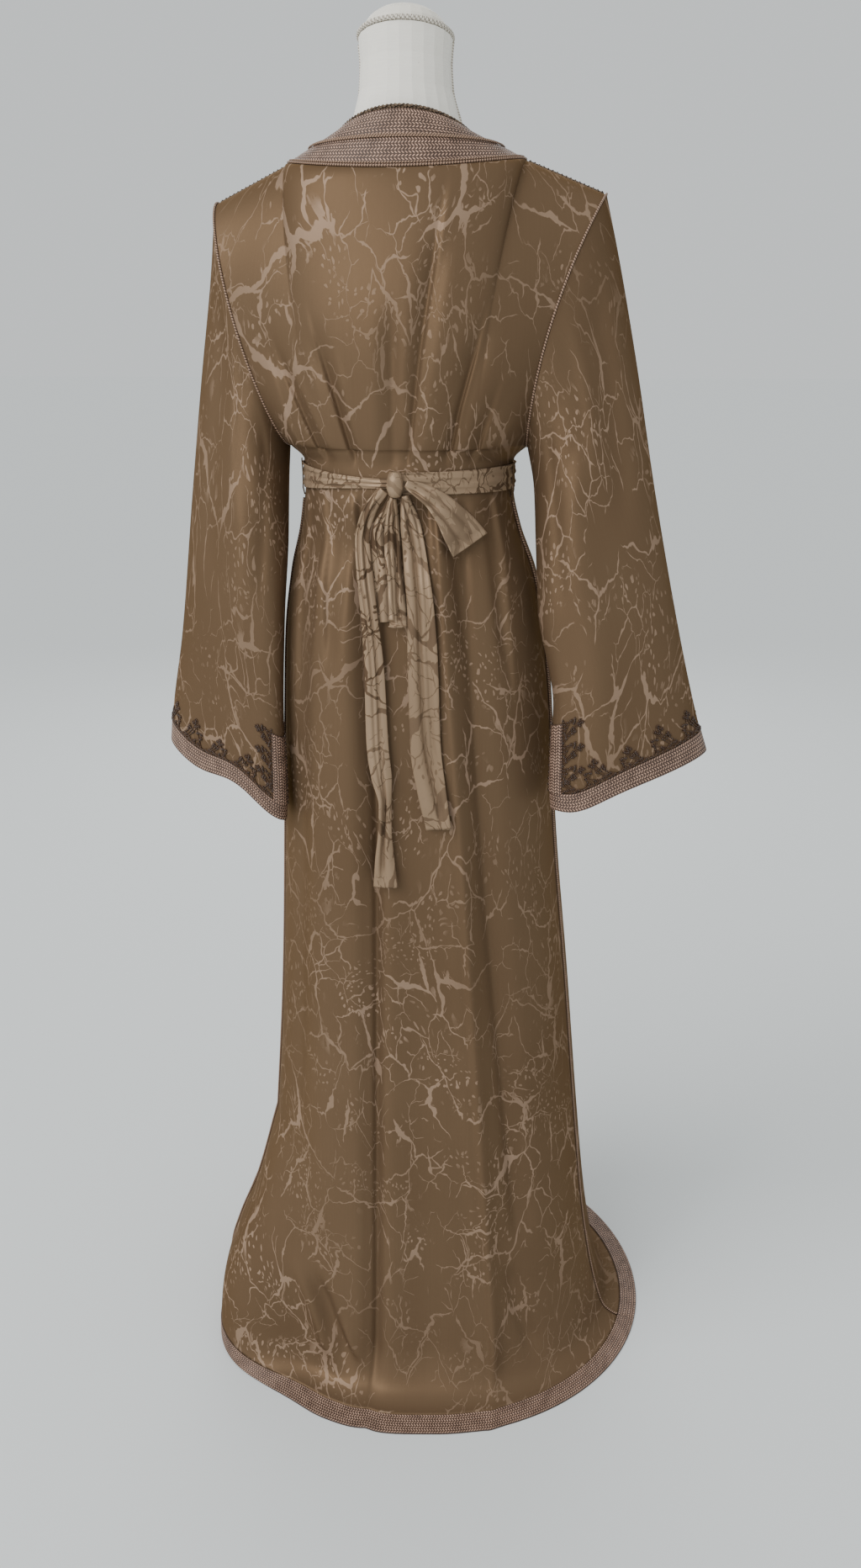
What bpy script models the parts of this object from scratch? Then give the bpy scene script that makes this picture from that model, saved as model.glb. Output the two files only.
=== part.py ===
"""Moroccan kaftan standing on a limbless dress form, in metres, +Z up.

The front faces -Y, the back +Y and the wearer's left is +X. The origin is on the floor below the
middle of the garment. The kaftan is cut from one back, two fronts and two bell sleeves, trimmed
with a double neckband, front bands, hem bands, cuff bands and seam cords, and gathered at the
waist by a belt that ties in a bow at the back.

Every cloth piece is a closed wall between an outer grid of points and an inner one. The grids are
read from three surfaces: the body (sections from hem to armpit), the yoke patches above it, and
the sleeves (rings between an outer and an inner edge).
"""
import math

import bmesh
import bpy
import numpy as np

# Walls and seams
CLOTH = 0.0012
TRIM = 0.0020
TRIM_LIFT = 0.0006
RIBBON = 0.0015
SEAM = 0.0003
TOP_SEAM = 0.002
SHARP_EDGE = math.radians(40)
STEP = 1e-4

# Heights on the body
WAIST = 1.222
WAIST_CALM = 0.05
TROUGH_KEPT = 0.3
SHOULDER_TIP_LEFT = (0.2125, 0.0, 1.512)
SHOULDER_TIP_RIGHT = (-0.2165, 0.0, 1.515)
SEAM_ANGLE = math.radians(10.0)

# Trims
HEM_BAND = 0.029
CUFF_BAND = 0.024
FRONT_BAND = 0.066

# Body sections: length of cloth up from the hem, height, and half extents to the wearer's
# left, right, back and front
BODY_SECTIONS = (
    # along, height, left, right, back, front
    (0.000, 0.0014, 0.276, 0.345, 0.285, 0.300),
    (0.030, 0.0018, 0.251, 0.320, 0.256, 0.272),
    (0.062, 0.0110, 0.234, 0.300, 0.229, 0.246),
    (0.105, 0.0470, 0.226, 0.285, 0.208, 0.224),
    (0.165, 0.1060, 0.219, 0.271, 0.198, 0.210),
    (0.255, 0.1950, 0.210, 0.256, 0.190, 0.198),
    (0.390, 0.3300, 0.197, 0.240, 0.180, 0.185),
    (0.620, 0.5600, 0.178, 0.216, 0.165, 0.168),
    (0.860, 0.8000, 0.165, 0.190, 0.152, 0.152),
    (1.010, 0.9500, 0.158, 0.180, 0.143, 0.142),
    (1.100, 1.0400, 0.152, 0.169, 0.136, 0.135),
    (1.170, 1.1100, 0.141, 0.155, 0.129, 0.127),
    (1.225, 1.1650, 0.128, 0.134, 0.121, 0.118),
    (1.265, 1.2050, 0.1225, 0.1245, 0.116, 0.112),
    (1.283, 1.2220, 0.1220, 0.1240, 0.115, 0.110),
    (1.301, 1.2400, 0.1228, 0.1248, 0.1155, 0.1108),
    (1.322, 1.2570, 0.1400, 0.1420, 0.1195, 0.1170),
)

# Back-left corner, where the skirt stands on its hem as a cone: length up from the hem, height,
# half extents to the left and back, and how square the outline is (2 is an oval)
CORNER_SECTIONS = (
    # along, height, left, back, squareness
    (0.000, 0.0014, 0.281, 0.286, 3.00),
    (0.030, 0.0250, 0.280, 0.285, 3.00),
    (0.062, 0.0500, 0.278, 0.283, 3.00),
    (0.105, 0.0855, 0.273, 0.279, 3.00),
    (0.165, 0.1350, 0.258, 0.262, 2.85),
    (0.255, 0.2120, 0.228, 0.222, 2.50),
    (0.390, 0.3300, 0.197, 0.180, 2.00),
)
CORNER_END = math.radians(66)
CORNER_FADE = math.radians(40)

# Largest folds: a ridge is positive, a trough negative. Each runs down through three points.
FOLDS = (
    # side, top z, top x, mid z, mid x, low z, low x, half width, depth
    ("back", 1.20, 0.044, 0.82, 0.029, -0.20, 0.033, 0.014, -0.013),
    ("back", 1.18, 0.010, 0.70, -0.026, -0.20, -0.055, 0.040, -0.010),
    ("back", 1.20, -0.040, 0.82, -0.073, -0.20, -0.150, 0.016, 0.009),
    ("back", 1.20, -0.078, 0.70, -0.120, 0.20, -0.172, 0.014, -0.009),
    ("back", 1.16, 0.085, 0.70, 0.088, -0.20, 0.105, 0.032, 0.008),
    ("back", 1.20, 0.100, 0.90, 0.120, 0.35, 0.145, 0.014, -0.006),
    ("back", 1.21, 0.070, 1.12, 0.072, 1.00, 0.076, 0.011, -0.006),
    ("back", 1.39, 0.148, 1.30, 0.108, 1.21, 0.070, 0.012, -0.008),
    ("back", 1.39, 0.090, 1.30, 0.062, 1.21, 0.038, 0.011, -0.007),
    ("back", 1.41, 0.000, 1.30, 0.002, 1.21, 0.004, 0.011, -0.006),
    ("back", 1.48, -0.052, 1.34, -0.030, 1.21, -0.013, 0.011, -0.006),
    ("back", 1.40, -0.102, 1.30, -0.072, 1.21, -0.053, 0.012, -0.008),
    ("back", 1.33, -0.118, 1.27, -0.095, 1.21, -0.078, 0.011, -0.006),
    ("front", 1.18, 0.096, 0.70, 0.108, -0.20, 0.130, 0.018, -0.010),
    ("front", 1.16, 0.078, 0.70, 0.084, -0.20, 0.098, 0.016, 0.006),
    ("front", 1.18, -0.098, 0.70, -0.118, -0.20, -0.160, 0.018, -0.011),
    ("front", 1.16, -0.080, 0.70, -0.092, -0.20, -0.118, 0.016, 0.007),
    ("front", 1.40, 0.128, 1.31, 0.106, 1.21, 0.086, 0.012, -0.006),
    ("front", 1.38, -0.130, 1.30, -0.108, 1.21, -0.088, 0.012, -0.007),
)
FOLD_FADE = 0.055
FOLD_FLOOR = 0.06
FOLD_FLOOR_KEPT = 0.2

# Yoke: how fast the pull of each edge fades inwards, and how far back and front bulge
BACK_PULL = 4.0
FRONT_PULL = 1.6
BAND_PULL = 2.0
BACK_WIDTH = 0.30
FRONT_WIDTH = 0.15
BACK_CROWN = 0.007
FRONT_CROWN = 0.010

# Armhole rings: half depth in Y, and how far the middle of the ring bows towards +X
ARMHOLE_DEPTH = 0.062
ARMHOLE_BOW = {"left": 0.006, "right": 0.014}

# Sleeve rings below the armhole, as the outer and inner edges of a flattened tube
SLEEVE_RINGS = {
    # along, outer x, y, z, inner x, y, z, half depth
    "left": (
        (0.14, 0.2230, 0.002, 1.440, 0.1390, 0.030, 1.213, 0.053),
        (0.32, 0.2410, 0.008, 1.330, 0.1370, 0.052, 1.148, 0.046),
        (0.52, 0.2620, 0.014, 1.190, 0.1410, 0.070, 1.058, 0.041),
        (0.76, 0.2850, 0.020, 1.030, 0.1450, 0.082, 0.932, 0.037),
        (0.92, 0.3040, 0.024, 0.930, 0.1430, 0.092, 0.844, 0.036),
        (1.00, 0.3090, 0.026, 0.888, 0.1440, 0.096, 0.810, 0.036),
    ),
    "right": (
        (0.14, -0.2340, 0.002, 1.450, -0.1490, 0.030, 1.213, 0.053),
        (0.32, -0.2590, 0.006, 1.345, -0.1540, 0.045, 1.148, 0.047),
        (0.52, -0.2890, 0.012, 1.205, -0.1600, 0.062, 1.072, 0.043),
        (0.76, -0.3290, 0.018, 1.040, -0.1820, 0.076, 0.958, 0.039),
        (0.92, -0.3570, 0.022, 0.940, -0.1820, 0.084, 0.874, 0.038),
        (1.00, -0.3710, 0.024, 0.899, -0.1840, 0.088, 0.840, 0.038),
    ),
}
SLEEVE_FOLDS = {
    # angle round the sleeve, start along, end along, half width in radians, depth
    "left": ((62, 0.05, 0.62, 0.22, -0.006), (100, 0.30, 0.98, 0.30, 0.005), (285, 0.20, 0.95, 0.3, -0.006)),
    "right": ((58, 0.05, 0.55, 0.22, -0.006), (105, 0.25, 0.98, 0.3, 0.005), (280, 0.20, 0.95, 0.3, -0.006)),
}
SLEEVE_WAVES = {
    # angle round the sleeve, half width in radians, rise of the cuff
    "left": ((105, 0.50, 0.020),),
    "right": ((128, 0.45, -0.009),),
}
WAVE_START = 0.70
SLEEVE_CLEAR = 0.0008
SLEEVE_LENGTH = 0.66
SLEEVE_BOW_END = 0.25
SLEEVE_FOLD_FADE = 0.12

# Neckband: edge against the panels and neck edge, both as half widths and depths round the back
NECK_OUTER = {"half_width": 0.130, "back": 0.093, "shoulder_z": 1.549, "nape_z": 1.533}
NECK_INNER = {"half_width": 0.078, "back": 0.064, "shoulder_z": 1.568, "nape_z": 1.590}
NECK_FRONT = (
    # outer x, outer y, outer z, inner x, inner y, inner z
    (0.0660, -0.1032, 1.2570, 0.0003, -0.1170, 1.2570),
    (0.0660, -0.1120, 1.2900, 0.0003, -0.1195, 1.2950),
    (0.0740, -0.1110, 1.3450, 0.0150, -0.1195, 1.3500),
    (0.0980, -0.0960, 1.4200, 0.0440, -0.1000, 1.4350),
    (0.1200, -0.0580, 1.5050, 0.0690, -0.0600, 1.5260),
    (0.1300, 0.0000, 1.5490, 0.0780, 0.0000, 1.5680),
)
NAPE_RISE = 1.6
NECK_WIDTH = 0.06
NECK_CROWN = 0.002
NECK_CORD_RADIUS = 0.0024
NECK_CORD_GAP = 0.0005
NECK_CORD_END = 1.300

# Side cords: half width, and how far their two faces lie off the cloth
SIDE_CORD_HALF_WIDTH = 0.0013
SIDE_CORD_LOW = 0.0006
SIDE_CORD_HIGH = 0.0020
SIDE_CORD_TOP = 0.004

# Belt: the narrowings are the shares of its height that it loses towards the knot
BELT_LIFT = 0.0012
BELT_LOW = 1.209
BELT_HIGH = 1.237
BELT_NARROWING = {"left": 0.62, "right": 0.15}
BELT_END = {"left": math.radians(91.30), "right": math.radians(91.46)}
WAIST_RADIUS = 0.12
KNOT_CENTRE = (-0.003, 0.1275, 1.223)
KNOT_HALF = (0.0095, 0.0095, 0.0135)
KNOT_CUT = 0.35
KNOT_POWER = 0.6
CARRIER_HALF_WIDTH = 0.0035
CARRIER_LOW = 1.199
CARRIER_HIGH = 1.242
CARRIER_LIFT = 0.0008

# Ribbons of the bow: how far their middle bulges, how deep they follow a trough, and their rows.
# Each row is a height on the back of the skirt, the ribbon's middle x, how
# far it lies off the cloth, its half width, and how far its +X edge lifts more than its -X edge
RIBBON_CROWN = 0.0012
RIBBON_TROUGH = -0.004
RIBBONS = {
    "bow_tail_left": (
        # height, middle x, lift, half width, edge lift
        (1.2170, 0.0100, 0.0110, 0.0060, 0.000),
        (1.1950, 0.0260, 0.0095, 0.0075, 0.001),
        (1.1627, 0.0350, 0.0110, 0.0080, 0.001),
        (1.1250, 0.0320, 0.0100, 0.0088, 0.001),
        (1.0875, 0.0277, 0.0090, 0.0095, 0.000),
        (1.0190, 0.0215, 0.0080, 0.0112, 0.001),
        (0.9257, 0.0177, 0.0075, 0.0127, -0.001),
        (0.8928, 0.0134, 0.0075, 0.0120, 0.001),
        (0.8580, 0.0089, 0.0085, 0.0070, 0.003),
        (0.8250, 0.0095, 0.0085, 0.0080, -0.002),
        (0.7885, 0.0100, 0.0075, 0.0113, 0.001),
        (0.7520, 0.0091, 0.0065, 0.0155, 0.001),
    ),
    "bow_loop_left_outer": (
        # height, middle x, lift, half width, edge lift
        (1.2092, 0.0020, 0.0035, 0.0035, 0.000),
        (1.1630, 0.0184, 0.0040, 0.0078, -0.001),
        (1.1200, 0.0150, -0.0028, 0.0086, -0.001),
        (1.0875, 0.0125, -0.0051, 0.0078, 0.000),
        (1.0720, 0.0110, -0.0057, 0.0070, 0.000),
    ),
    "bow_loop_left_inner": (
        # height, middle x, lift, half width, edge lift
        (1.2092, 0.0000, 0.0085, 0.0040, 0.000),
        (1.1630, 0.0005, 0.0100, 0.0085, 0.001),
        (1.1200, -0.0037, 0.0110, 0.0085, 0.002),
        (1.0900, -0.0060, 0.0110, 0.0092, 0.001),
        (1.0740, -0.0065, 0.0090, 0.0098, 0.000),
    ),
    "bow_tail_right": (
        # height, middle x, lift, half width, edge lift
        (1.2110, -0.0130, 0.0090, 0.0045, 0.000),
        (1.1730, -0.0205, 0.0060, 0.0115, -0.001),
        (1.1300, -0.0265, 0.0060, 0.0135, 0.000),
        (1.0875, -0.0317, 0.0060, 0.0152, 0.001),
        (1.0190, -0.0350, 0.0055, 0.0172, 0.000),
        (0.9257, -0.0386, 0.0050, 0.0176, 0.001),
        (0.8810, -0.0449, 0.0050, 0.0168, -0.001),
        (0.8280, -0.0543, 0.0050, 0.0155, 0.000),
    ),
    "bow_loop_right": (
        # height, middle x, lift, half width, edge lift
        (1.2240, -0.0150, 0.0120, 0.0050, 0.000),
        (1.2120, -0.0380, 0.0125, 0.0090, 0.002),
        (1.1980, -0.0548, 0.0135, 0.0125, 0.003),
        (1.1760, -0.0715, 0.0130, 0.0170, 0.003),
        (1.1560, -0.0840, 0.0110, 0.0205, 0.002),
    ),
}

# Dress form: height, half width, back and front, and the power of the section's outline
FORM_SECTIONS = (
    # height, half width, back, front, power
    (0.720, 0.118, 0.078, 0.078, 2.0),
    (0.735, 0.132, 0.090, 0.090, 2.0),
    (0.780, 0.138, 0.096, 0.094, 2.0),
    (0.900, 0.134, 0.096, 0.092, 2.0),
    (1.040, 0.124, 0.094, 0.090, 2.0),
    (1.130, 0.113, 0.093, 0.090, 2.0),
    (1.222, 0.108, 0.094, 0.092, 2.0),
    (1.300, 0.118, 0.098, 0.096, 2.0),
    (1.380, 0.130, 0.094, 0.093, 2.0),
    (1.440, 0.146, 0.084, 0.082, 1.9),
    (1.480, 0.164, 0.070, 0.068, 1.8),
    (1.505, 0.180, 0.056, 0.054, 1.7),
    (1.5225, 0.1830, 0.046, 0.040, 1.35),
    (1.5288, 0.1700, 0.046, 0.038, 1.14),
    (1.5384, 0.1485, 0.046, 0.036, 1.12),
    (1.5488, 0.1225, 0.047, 0.036, 1.12),
    (1.5580, 0.0915, 0.048, 0.035, 1.14),
    (1.5630, 0.0700, 0.050, 0.037, 1.40),
    (1.5760, 0.0620, 0.052, 0.048, 2.0),
    (1.5900, 0.0575, 0.053, 0.050, 2.0),
    (1.6150, 0.0500, 0.0500, 0.048, 2.0),
    (1.6400, 0.0482, 0.0482, 0.0482, 2.0),
    (1.6620, 0.0500, 0.0500, 0.0500, 2.0),
)
NECK_TOP = 1.662
NECK_TILT = math.radians(9.0)
TILT_FROM = 1.62
TRIM_RING_INSET = 0.0008
TRIM_RING_RADIUS = 0.0028
CAP_HEIGHT = 0.026
POLE_RADIUS = 0.0125
BASE_RADIUS = 0.150
BASE_THICKNESS = 0.012
BASE_EDGE = 0.004

# Fineness of the grids, and the lengths up from the hem between which the rows change spacing
BACK_COLUMNS = 26
SHOULDER_COLUMNS = 7
FRONT_COLUMNS = 10
LOWER_ROWS = 18
UPPER_ROWS = 10
SLEEVE_ROWS = 11
FORM_SIDES = 24
FLOOR_END = 0.14
GATHER_START = 1.10
GATHER_END = 1.24
BELT_MARGIN = 0.004

# Finishes: linear colour, roughness, metallic
FINISHES = {
    "taupe_satin": ((0.205, 0.138, 0.086), 0.42, 0.0),
    "sfifa_braid": ((0.330, 0.230, 0.180), 0.65, 0.0),
    "dark_cord": ((0.085, 0.060, 0.042), 0.60, 0.0),
    "champagne_satin": ((0.440, 0.345, 0.250), 0.40, 0.0),
    "ivory_linen": ((0.780, 0.740, 0.670), 0.85, 0.0),
    "black_metal": ((0.030, 0.030, 0.032), 0.40, 1.0),
}


def clear_scene():
    """Remove every object that the file opened with."""
    for item in list(bpy.data.objects):
        bpy.data.objects.remove(item, do_unlink=True)


def curve_through(knots, values, at):
    """Smooth curve through a table's points that never overshoots them (monotone cubic)."""
    knots = np.asarray(knots, float)
    values = np.asarray(values, float)
    at = np.clip(np.asarray(at, float), knots[0], knots[-1])
    gaps = np.diff(knots)
    slopes = np.diff(values) / gaps
    bends = np.zeros(len(knots))
    bends[0] = slopes[0]
    bends[-1] = slopes[-1]
    same_way = slopes[1:] * slopes[:-1] > 0
    sums = slopes[1:] + slopes[:-1]
    safe = np.where(same_way, sums, 1.0)
    bends[1:-1] = np.where(same_way, 2 * slopes[1:] * slopes[:-1] / safe, 0.0)
    cell = np.clip(np.searchsorted(knots, at, side="right") - 1, 0, len(gaps) - 1)
    gap = gaps[cell]
    part = (at - knots[cell]) / gap
    start = values[cell] * (1 + 2 * part) * (1 - part) ** 2
    end = values[cell + 1] * part ** 2 * (3 - 2 * part)
    lean_in = bends[cell] * gap * part * (1 - part) ** 2
    lean_out = bends[cell + 1] * gap * part ** 2 * (part - 1)
    return start + end + lean_in + lean_out


def column(table, index):
    """One column of a table of rows."""
    return [row[index] for row in table]


def unit(vectors):
    """Vectors scaled to length one."""
    length = np.linalg.norm(vectors, axis=-1, keepdims=True)
    return vectors / np.maximum(length, 1e-12)


def smooth_step(value):
    """0 to 1 with level ends."""
    value = np.clip(value, 0.0, 1.0)
    return value * value * (3 - 2 * value)


def fold_depth(x, z, y):
    """How far the folds push the cloth out (+) or in (-) at each point."""
    total = np.zeros(np.broadcast(x, z, y).shape)
    for side, top_z, top_x, mid_z, mid_x, low_z, low_x, half_width, depth in FOLDS:
        on_side = (y > 0) if side == "back" else (y < 0)
        middle = np.interp(z, (low_z, mid_z, top_z), (low_x, mid_x, top_x))
        across = np.exp(-((x - middle) / half_width) ** 2)
        fade = smooth_step((z - low_z) / FOLD_FADE) * smooth_step((top_z - z) / FOLD_FADE)
        away = smooth_step(np.abs(z - WAIST) / WAIST_CALM)
        keep = TROUGH_KEPT + (1 - TROUGH_KEPT) * away if depth < 0 else away
        total = total + np.where(on_side, depth * across * fade * keep, 0.0)
    return total * (FOLD_FLOOR_KEPT + (1 - FOLD_FLOOR_KEPT) * smooth_step(z / FOLD_FLOOR))


def along_of(height):
    """Length of cloth up from the hem at a height of the standing skirt."""
    return curve_through(column(BODY_SECTIONS, 1), column(BODY_SECTIONS, 0), height)


def body_outline(angle, along):
    """Point of the unfolded body: an oval from the sections, blended into the cone at its corner."""
    angle, along = np.broadcast_arrays(np.asarray(angle, float), np.asarray(along, float))
    knots = column(BODY_SECTIONS, 0)
    height, left, right, back, front = (
        curve_through(knots, column(BODY_SECTIONS, index), along) for index in range(1, 6)
    )
    cosine = np.cos(angle)
    sine = np.sin(angle)
    wide = np.where(cosine > 0, left, right)
    deep = np.where(sine > 0, back, front)
    oval = np.stack([wide * cosine, deep * sine, height], axis=-1)
    knots = column(CORNER_SECTIONS, 0)
    height, left, back, square = (
        curve_through(knots, column(CORNER_SECTIONS, index), along) for index in range(1, 5)
    )
    squared = (np.abs(cosine) ** square + np.abs(sine) ** square) ** (-1 / square)
    deep = np.where(sine > 0, back, front)
    cone = np.stack([left * cosine * squared, deep * sine * squared, height], axis=-1)
    turned = np.abs(np.arctan2(sine, cosine))
    share = smooth_step((CORNER_END - turned) / CORNER_FADE) * (along < knots[-1])
    return oval + (cone - oval) * share[..., None]


def body_frame(angle, along):
    """Level outward direction, and the true outward normal, of the unfolded body."""
    here = body_outline(angle, along)
    round_it = body_outline(np.asarray(angle) + STEP, along) - body_outline(np.asarray(angle) - STEP, along)
    up_it = body_outline(angle, np.asarray(along) + STEP) - body_outline(angle, np.asarray(along) - STEP)
    level = unit(np.stack([round_it[..., 1], -round_it[..., 0], np.zeros(here.shape[:-1])], axis=-1))
    return here, level, unit(np.cross(round_it, up_it))


def body_surface(angle, along, out=0.0, folded=True):
    """Cloth of the body below the armpit, moved out by a distance."""
    here, level, normal = body_frame(angle, along)
    if folded:
        depth = fold_depth(here[..., 0], here[..., 2], here[..., 1])
        here = here + level * depth[..., None]
    return here + normal * np.asarray(out, float)[..., None]


def front_band_angle(side, along):
    """Angle, past the side, where a front panel meets its front band."""
    here = body_outline(0.0 if side == "left" else math.pi, along)
    wide = np.abs(here[..., 0])
    angle = np.arccos(np.clip(FRONT_BAND / wide, -1, 1))
    return -angle if side == "left" else angle - math.pi


def side_seam(side):
    """Angle of a side seam, a little behind the side."""
    return SEAM_ANGLE if side == "left" else math.pi - SEAM_ANGLE


def armhole_ring(side, turn):
    """Armhole seam: an oval from the shoulder tip (turn 0) by the back to the armpit (turn pi)."""
    turn = np.asarray(turn, float)
    tip = np.array(SHOULDER_TIP_LEFT if side == "left" else SHOULDER_TIP_RIGHT)
    pit = body_outline(side_seam(side), BODY_SECTIONS[-1][0])
    ring = (tip + pit) / 2 + (tip - pit) / 2 * np.cos(turn)[..., None]
    ring[..., 1] += ARMHOLE_DEPTH * np.sin(turn)
    ring[..., 0] += ARMHOLE_BOW[side] * np.sin(turn) ** 2
    return ring


def neck_front_edge(part, which):
    """Front run of the neckband's outer or inner edge, from the armpit level (0) to the shoulder (1)."""
    first = 0 if which == "outer" else 3
    knots = np.linspace(0.0, 1.0, len(NECK_FRONT))
    return np.stack(
        [curve_through(knots, column(NECK_FRONT, first + axis), part) for axis in range(3)], axis=-1
    )


def neck_back_edge(turn, which):
    """Back run of the neckband's edge, from the left shoulder (turn 0) to the right one (turn pi)."""
    size = NECK_OUTER if which == "outer" else NECK_INNER
    turn = np.asarray(turn, float)
    rise = (size["nape_z"] - size["shoulder_z"]) * np.sin(turn) ** NAPE_RISE
    return np.stack(
        [size["half_width"] * np.cos(turn), size["back"] * np.sin(turn), size["shoulder_z"] + rise], axis=-1
    )


def back_top_line(part):
    """Top of the back panel: shoulder seam, neckline, shoulder seam, for part 0 to 1."""
    part = np.asarray(part, float)
    shoulder = SHOULDER_COLUMNS / BACK_COLUMNS
    turn = np.clip((part - shoulder) / (1 - 2 * shoulder), 0, 1) * math.pi
    line = neck_back_edge(turn, "outer")
    for tip, share in (
        (SHOULDER_TIP_LEFT, np.clip(1 - part / shoulder, 0, 1)),
        (SHOULDER_TIP_RIGHT, np.clip(1 - (1 - part) / shoulder, 0, 1)),
    ):
        end = line * 0 + np.array(tip)
        line = line * (1 - share[..., None]) + end * share[..., None]
    return line


def rise_share(part):
    """Rows rise evenly round an armhole: level share of the height for part 0 to 1."""
    return (1 - np.cos(math.pi * np.asarray(part, float))) / 2


def rounded_blend(base, top, share):
    """Between a base line and a top line: straight in x and z, rounding over the shoulder in y."""
    share = np.clip(share, 0.0, 1.0)
    blend = base * (1 - share[..., None]) + top * share[..., None]
    round_over = np.sqrt(np.clip(1 - share ** 2, 0, 1))
    blend[..., 1] = base[..., 1] * round_over + top[..., 1] * (1 - round_over)
    return blend


def yoke_back(across, part):
    """Back above the armpit: base line to top line, pulled out to both armholes at its sides."""
    across, part = np.broadcast_arrays(np.asarray(across, float), np.asarray(part, float))
    share = rise_share(part)
    angle = SEAM_ANGLE + (math.pi - 2 * SEAM_ANGLE) * across
    top_along = BODY_SECTIONS[-1][0]
    here = rounded_blend(body_outline(angle, top_along), back_top_line(across), share)
    for side, edge, near in (("left", 0.0, 1 - across), ("right", 1.0, across)):
        edge_base = body_outline(side_seam(side), top_along) + here * 0
        edge_top = back_top_line(np.array(edge)) + here * 0
        pull = armhole_ring(side, math.pi * (1 - part)) - rounded_blend(edge_base, edge_top, share)
        here = here + pull * (near ** BACK_PULL)[..., None]
    here[..., 1] += BACK_CROWN * np.sin(math.pi * across) * np.sin(math.pi * share) ** 2
    return here


def yoke_front(side, across, part):
    """Front above the armpit, from the armhole (across 0) to the neckband's outer edge (across 1)."""
    across, part = np.broadcast_arrays(np.asarray(across, float), np.asarray(part, float))
    mirror = np.array([1.0 if side == "left" else -1.0, 1.0, 1.0])
    share = rise_share(part)
    top_along = BODY_SECTIONS[-1][0]
    seam = side_seam(side) if side == "left" else side_seam(side) - 2 * math.pi
    angle = seam + (front_band_angle(side, top_along) - seam) * across
    tip = np.array(SHOULDER_TIP_LEFT if side == "left" else SHOULDER_TIP_RIGHT)
    neck = neck_front_edge(np.array(1.0), "outer") * mirror
    top = tip * (1 - across[..., None]) + neck * across[..., None]
    here = rounded_blend(body_outline(angle, top_along), top, share)
    edge_base = body_outline(seam, top_along) + here * 0
    pull = armhole_ring(side, -math.pi * (1 - part)) - rounded_blend(edge_base, tip + here * 0, share)
    here = here + pull * ((1 - across) ** FRONT_PULL)[..., None]
    edge_base = body_outline(front_band_angle(side, top_along), top_along) + here * 0
    pull = neck_front_edge(share, "outer") * mirror - rounded_blend(edge_base, neck + here * 0, share)
    here = here + pull * (across ** BAND_PULL)[..., None]
    here[..., 1] -= FRONT_CROWN * np.sin(math.pi * across) * np.sin(math.pi * share)
    return here


def moved_out(surface, first, second, out):
    """A patch moved along its own normal, found from small steps in both directions."""
    one = surface(first + STEP, second) - surface(first - STEP, second)
    two = surface(first, second + STEP) - surface(first, second - STEP)
    return surface(first, second) + unit(np.cross(one, two)) * out


def sleeve_surface(side, turn, along, out=0.0):
    """Sleeve: a flattened tube between its outer edge (turn 0) and inner edge (turn pi)."""
    turn, along = np.broadcast_arrays(np.asarray(turn, float), np.asarray(along, float))
    tip = SHOULDER_TIP_LEFT if side == "left" else SHOULDER_TIP_RIGHT
    pit = body_outline(side_seam(side), BODY_SECTIONS[-1][0])
    rows = ((0.0, *tip, *pit, ARMHOLE_DEPTH),) + SLEEVE_RINGS[side]
    knots = column(rows, 0)
    values = [curve_through(knots, column(rows, index), along) for index in range(1, 8)]
    outer = np.stack(values[0:3], axis=-1)
    inner = np.stack(values[3:6], axis=-1)
    deep = values[6]
    bow = ARMHOLE_BOW[side] * np.clip(1 - along / SLEEVE_BOW_END, 0, 1) ** 2
    middle = (outer + inner) / 2
    reach = (outer - inner) / 2
    sine = np.sin(turn)
    fold = np.zeros(along.shape)
    for degrees, start, end, half_width, depth in SLEEVE_FOLDS[side]:
        away = np.angle(np.exp(1j * (turn - math.radians(degrees))))
        fade = smooth_step((along - start) / SLEEVE_FOLD_FADE)
        fade = fade * smooth_step((end - along) / SLEEVE_FOLD_FADE)
        fold = fold + depth * np.exp(-(away / half_width) ** 2) * fade
    here = middle + reach * np.cos(turn)[..., None]
    for degrees, half_width, rise in SLEEVE_WAVES[side]:
        away = np.angle(np.exp(1j * (turn - math.radians(degrees))))
        grown = smooth_step((along - WAVE_START) / (1 - WAVE_START))
        here[..., 2] += rise * np.exp(-(away / half_width) ** 2) * grown
    here[..., 0] += bow * sine ** 2 + math.copysign(SLEEVE_CLEAR, tip[0])
    here[..., 1] += (deep + fold + out) * sine
    way = unit(reach)
    return here + way * (out * np.cos(turn))[..., None]


def add_material(item, finish):
    """Give an object its own Principled material."""
    colour, roughness, metallic = FINISHES[finish]
    material = bpy.data.materials.new(item.name + "_" + finish)
    material.use_nodes = True
    shader = material.node_tree.nodes["Principled BSDF"]
    shader.inputs["Base Color"].default_value = (*colour, 1.0)
    shader.inputs["Roughness"].default_value = roughness
    shader.inputs["Metallic"].default_value = metallic
    item.data.materials.append(material)


def add_object(name, points, faces, finish):
    """Make one closed, outward-facing, smooth-shaded object from points and faces."""
    mesh = bpy.data.meshes.new(name)
    mesh.from_pydata([tuple(point) for point in points], [], faces)
    shape = bmesh.new()
    shape.from_mesh(mesh)
    bmesh.ops.recalc_face_normals(shape, faces=shape.faces)
    shape.to_mesh(mesh)
    shape.free()
    mesh.shade_smooth()
    mesh.set_sharp_from_angle(angle=SHARP_EDGE)
    item = bpy.data.objects.new(name, mesh)
    bpy.context.scene.collection.objects.link(item)
    add_material(item, finish)
    return item


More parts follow.
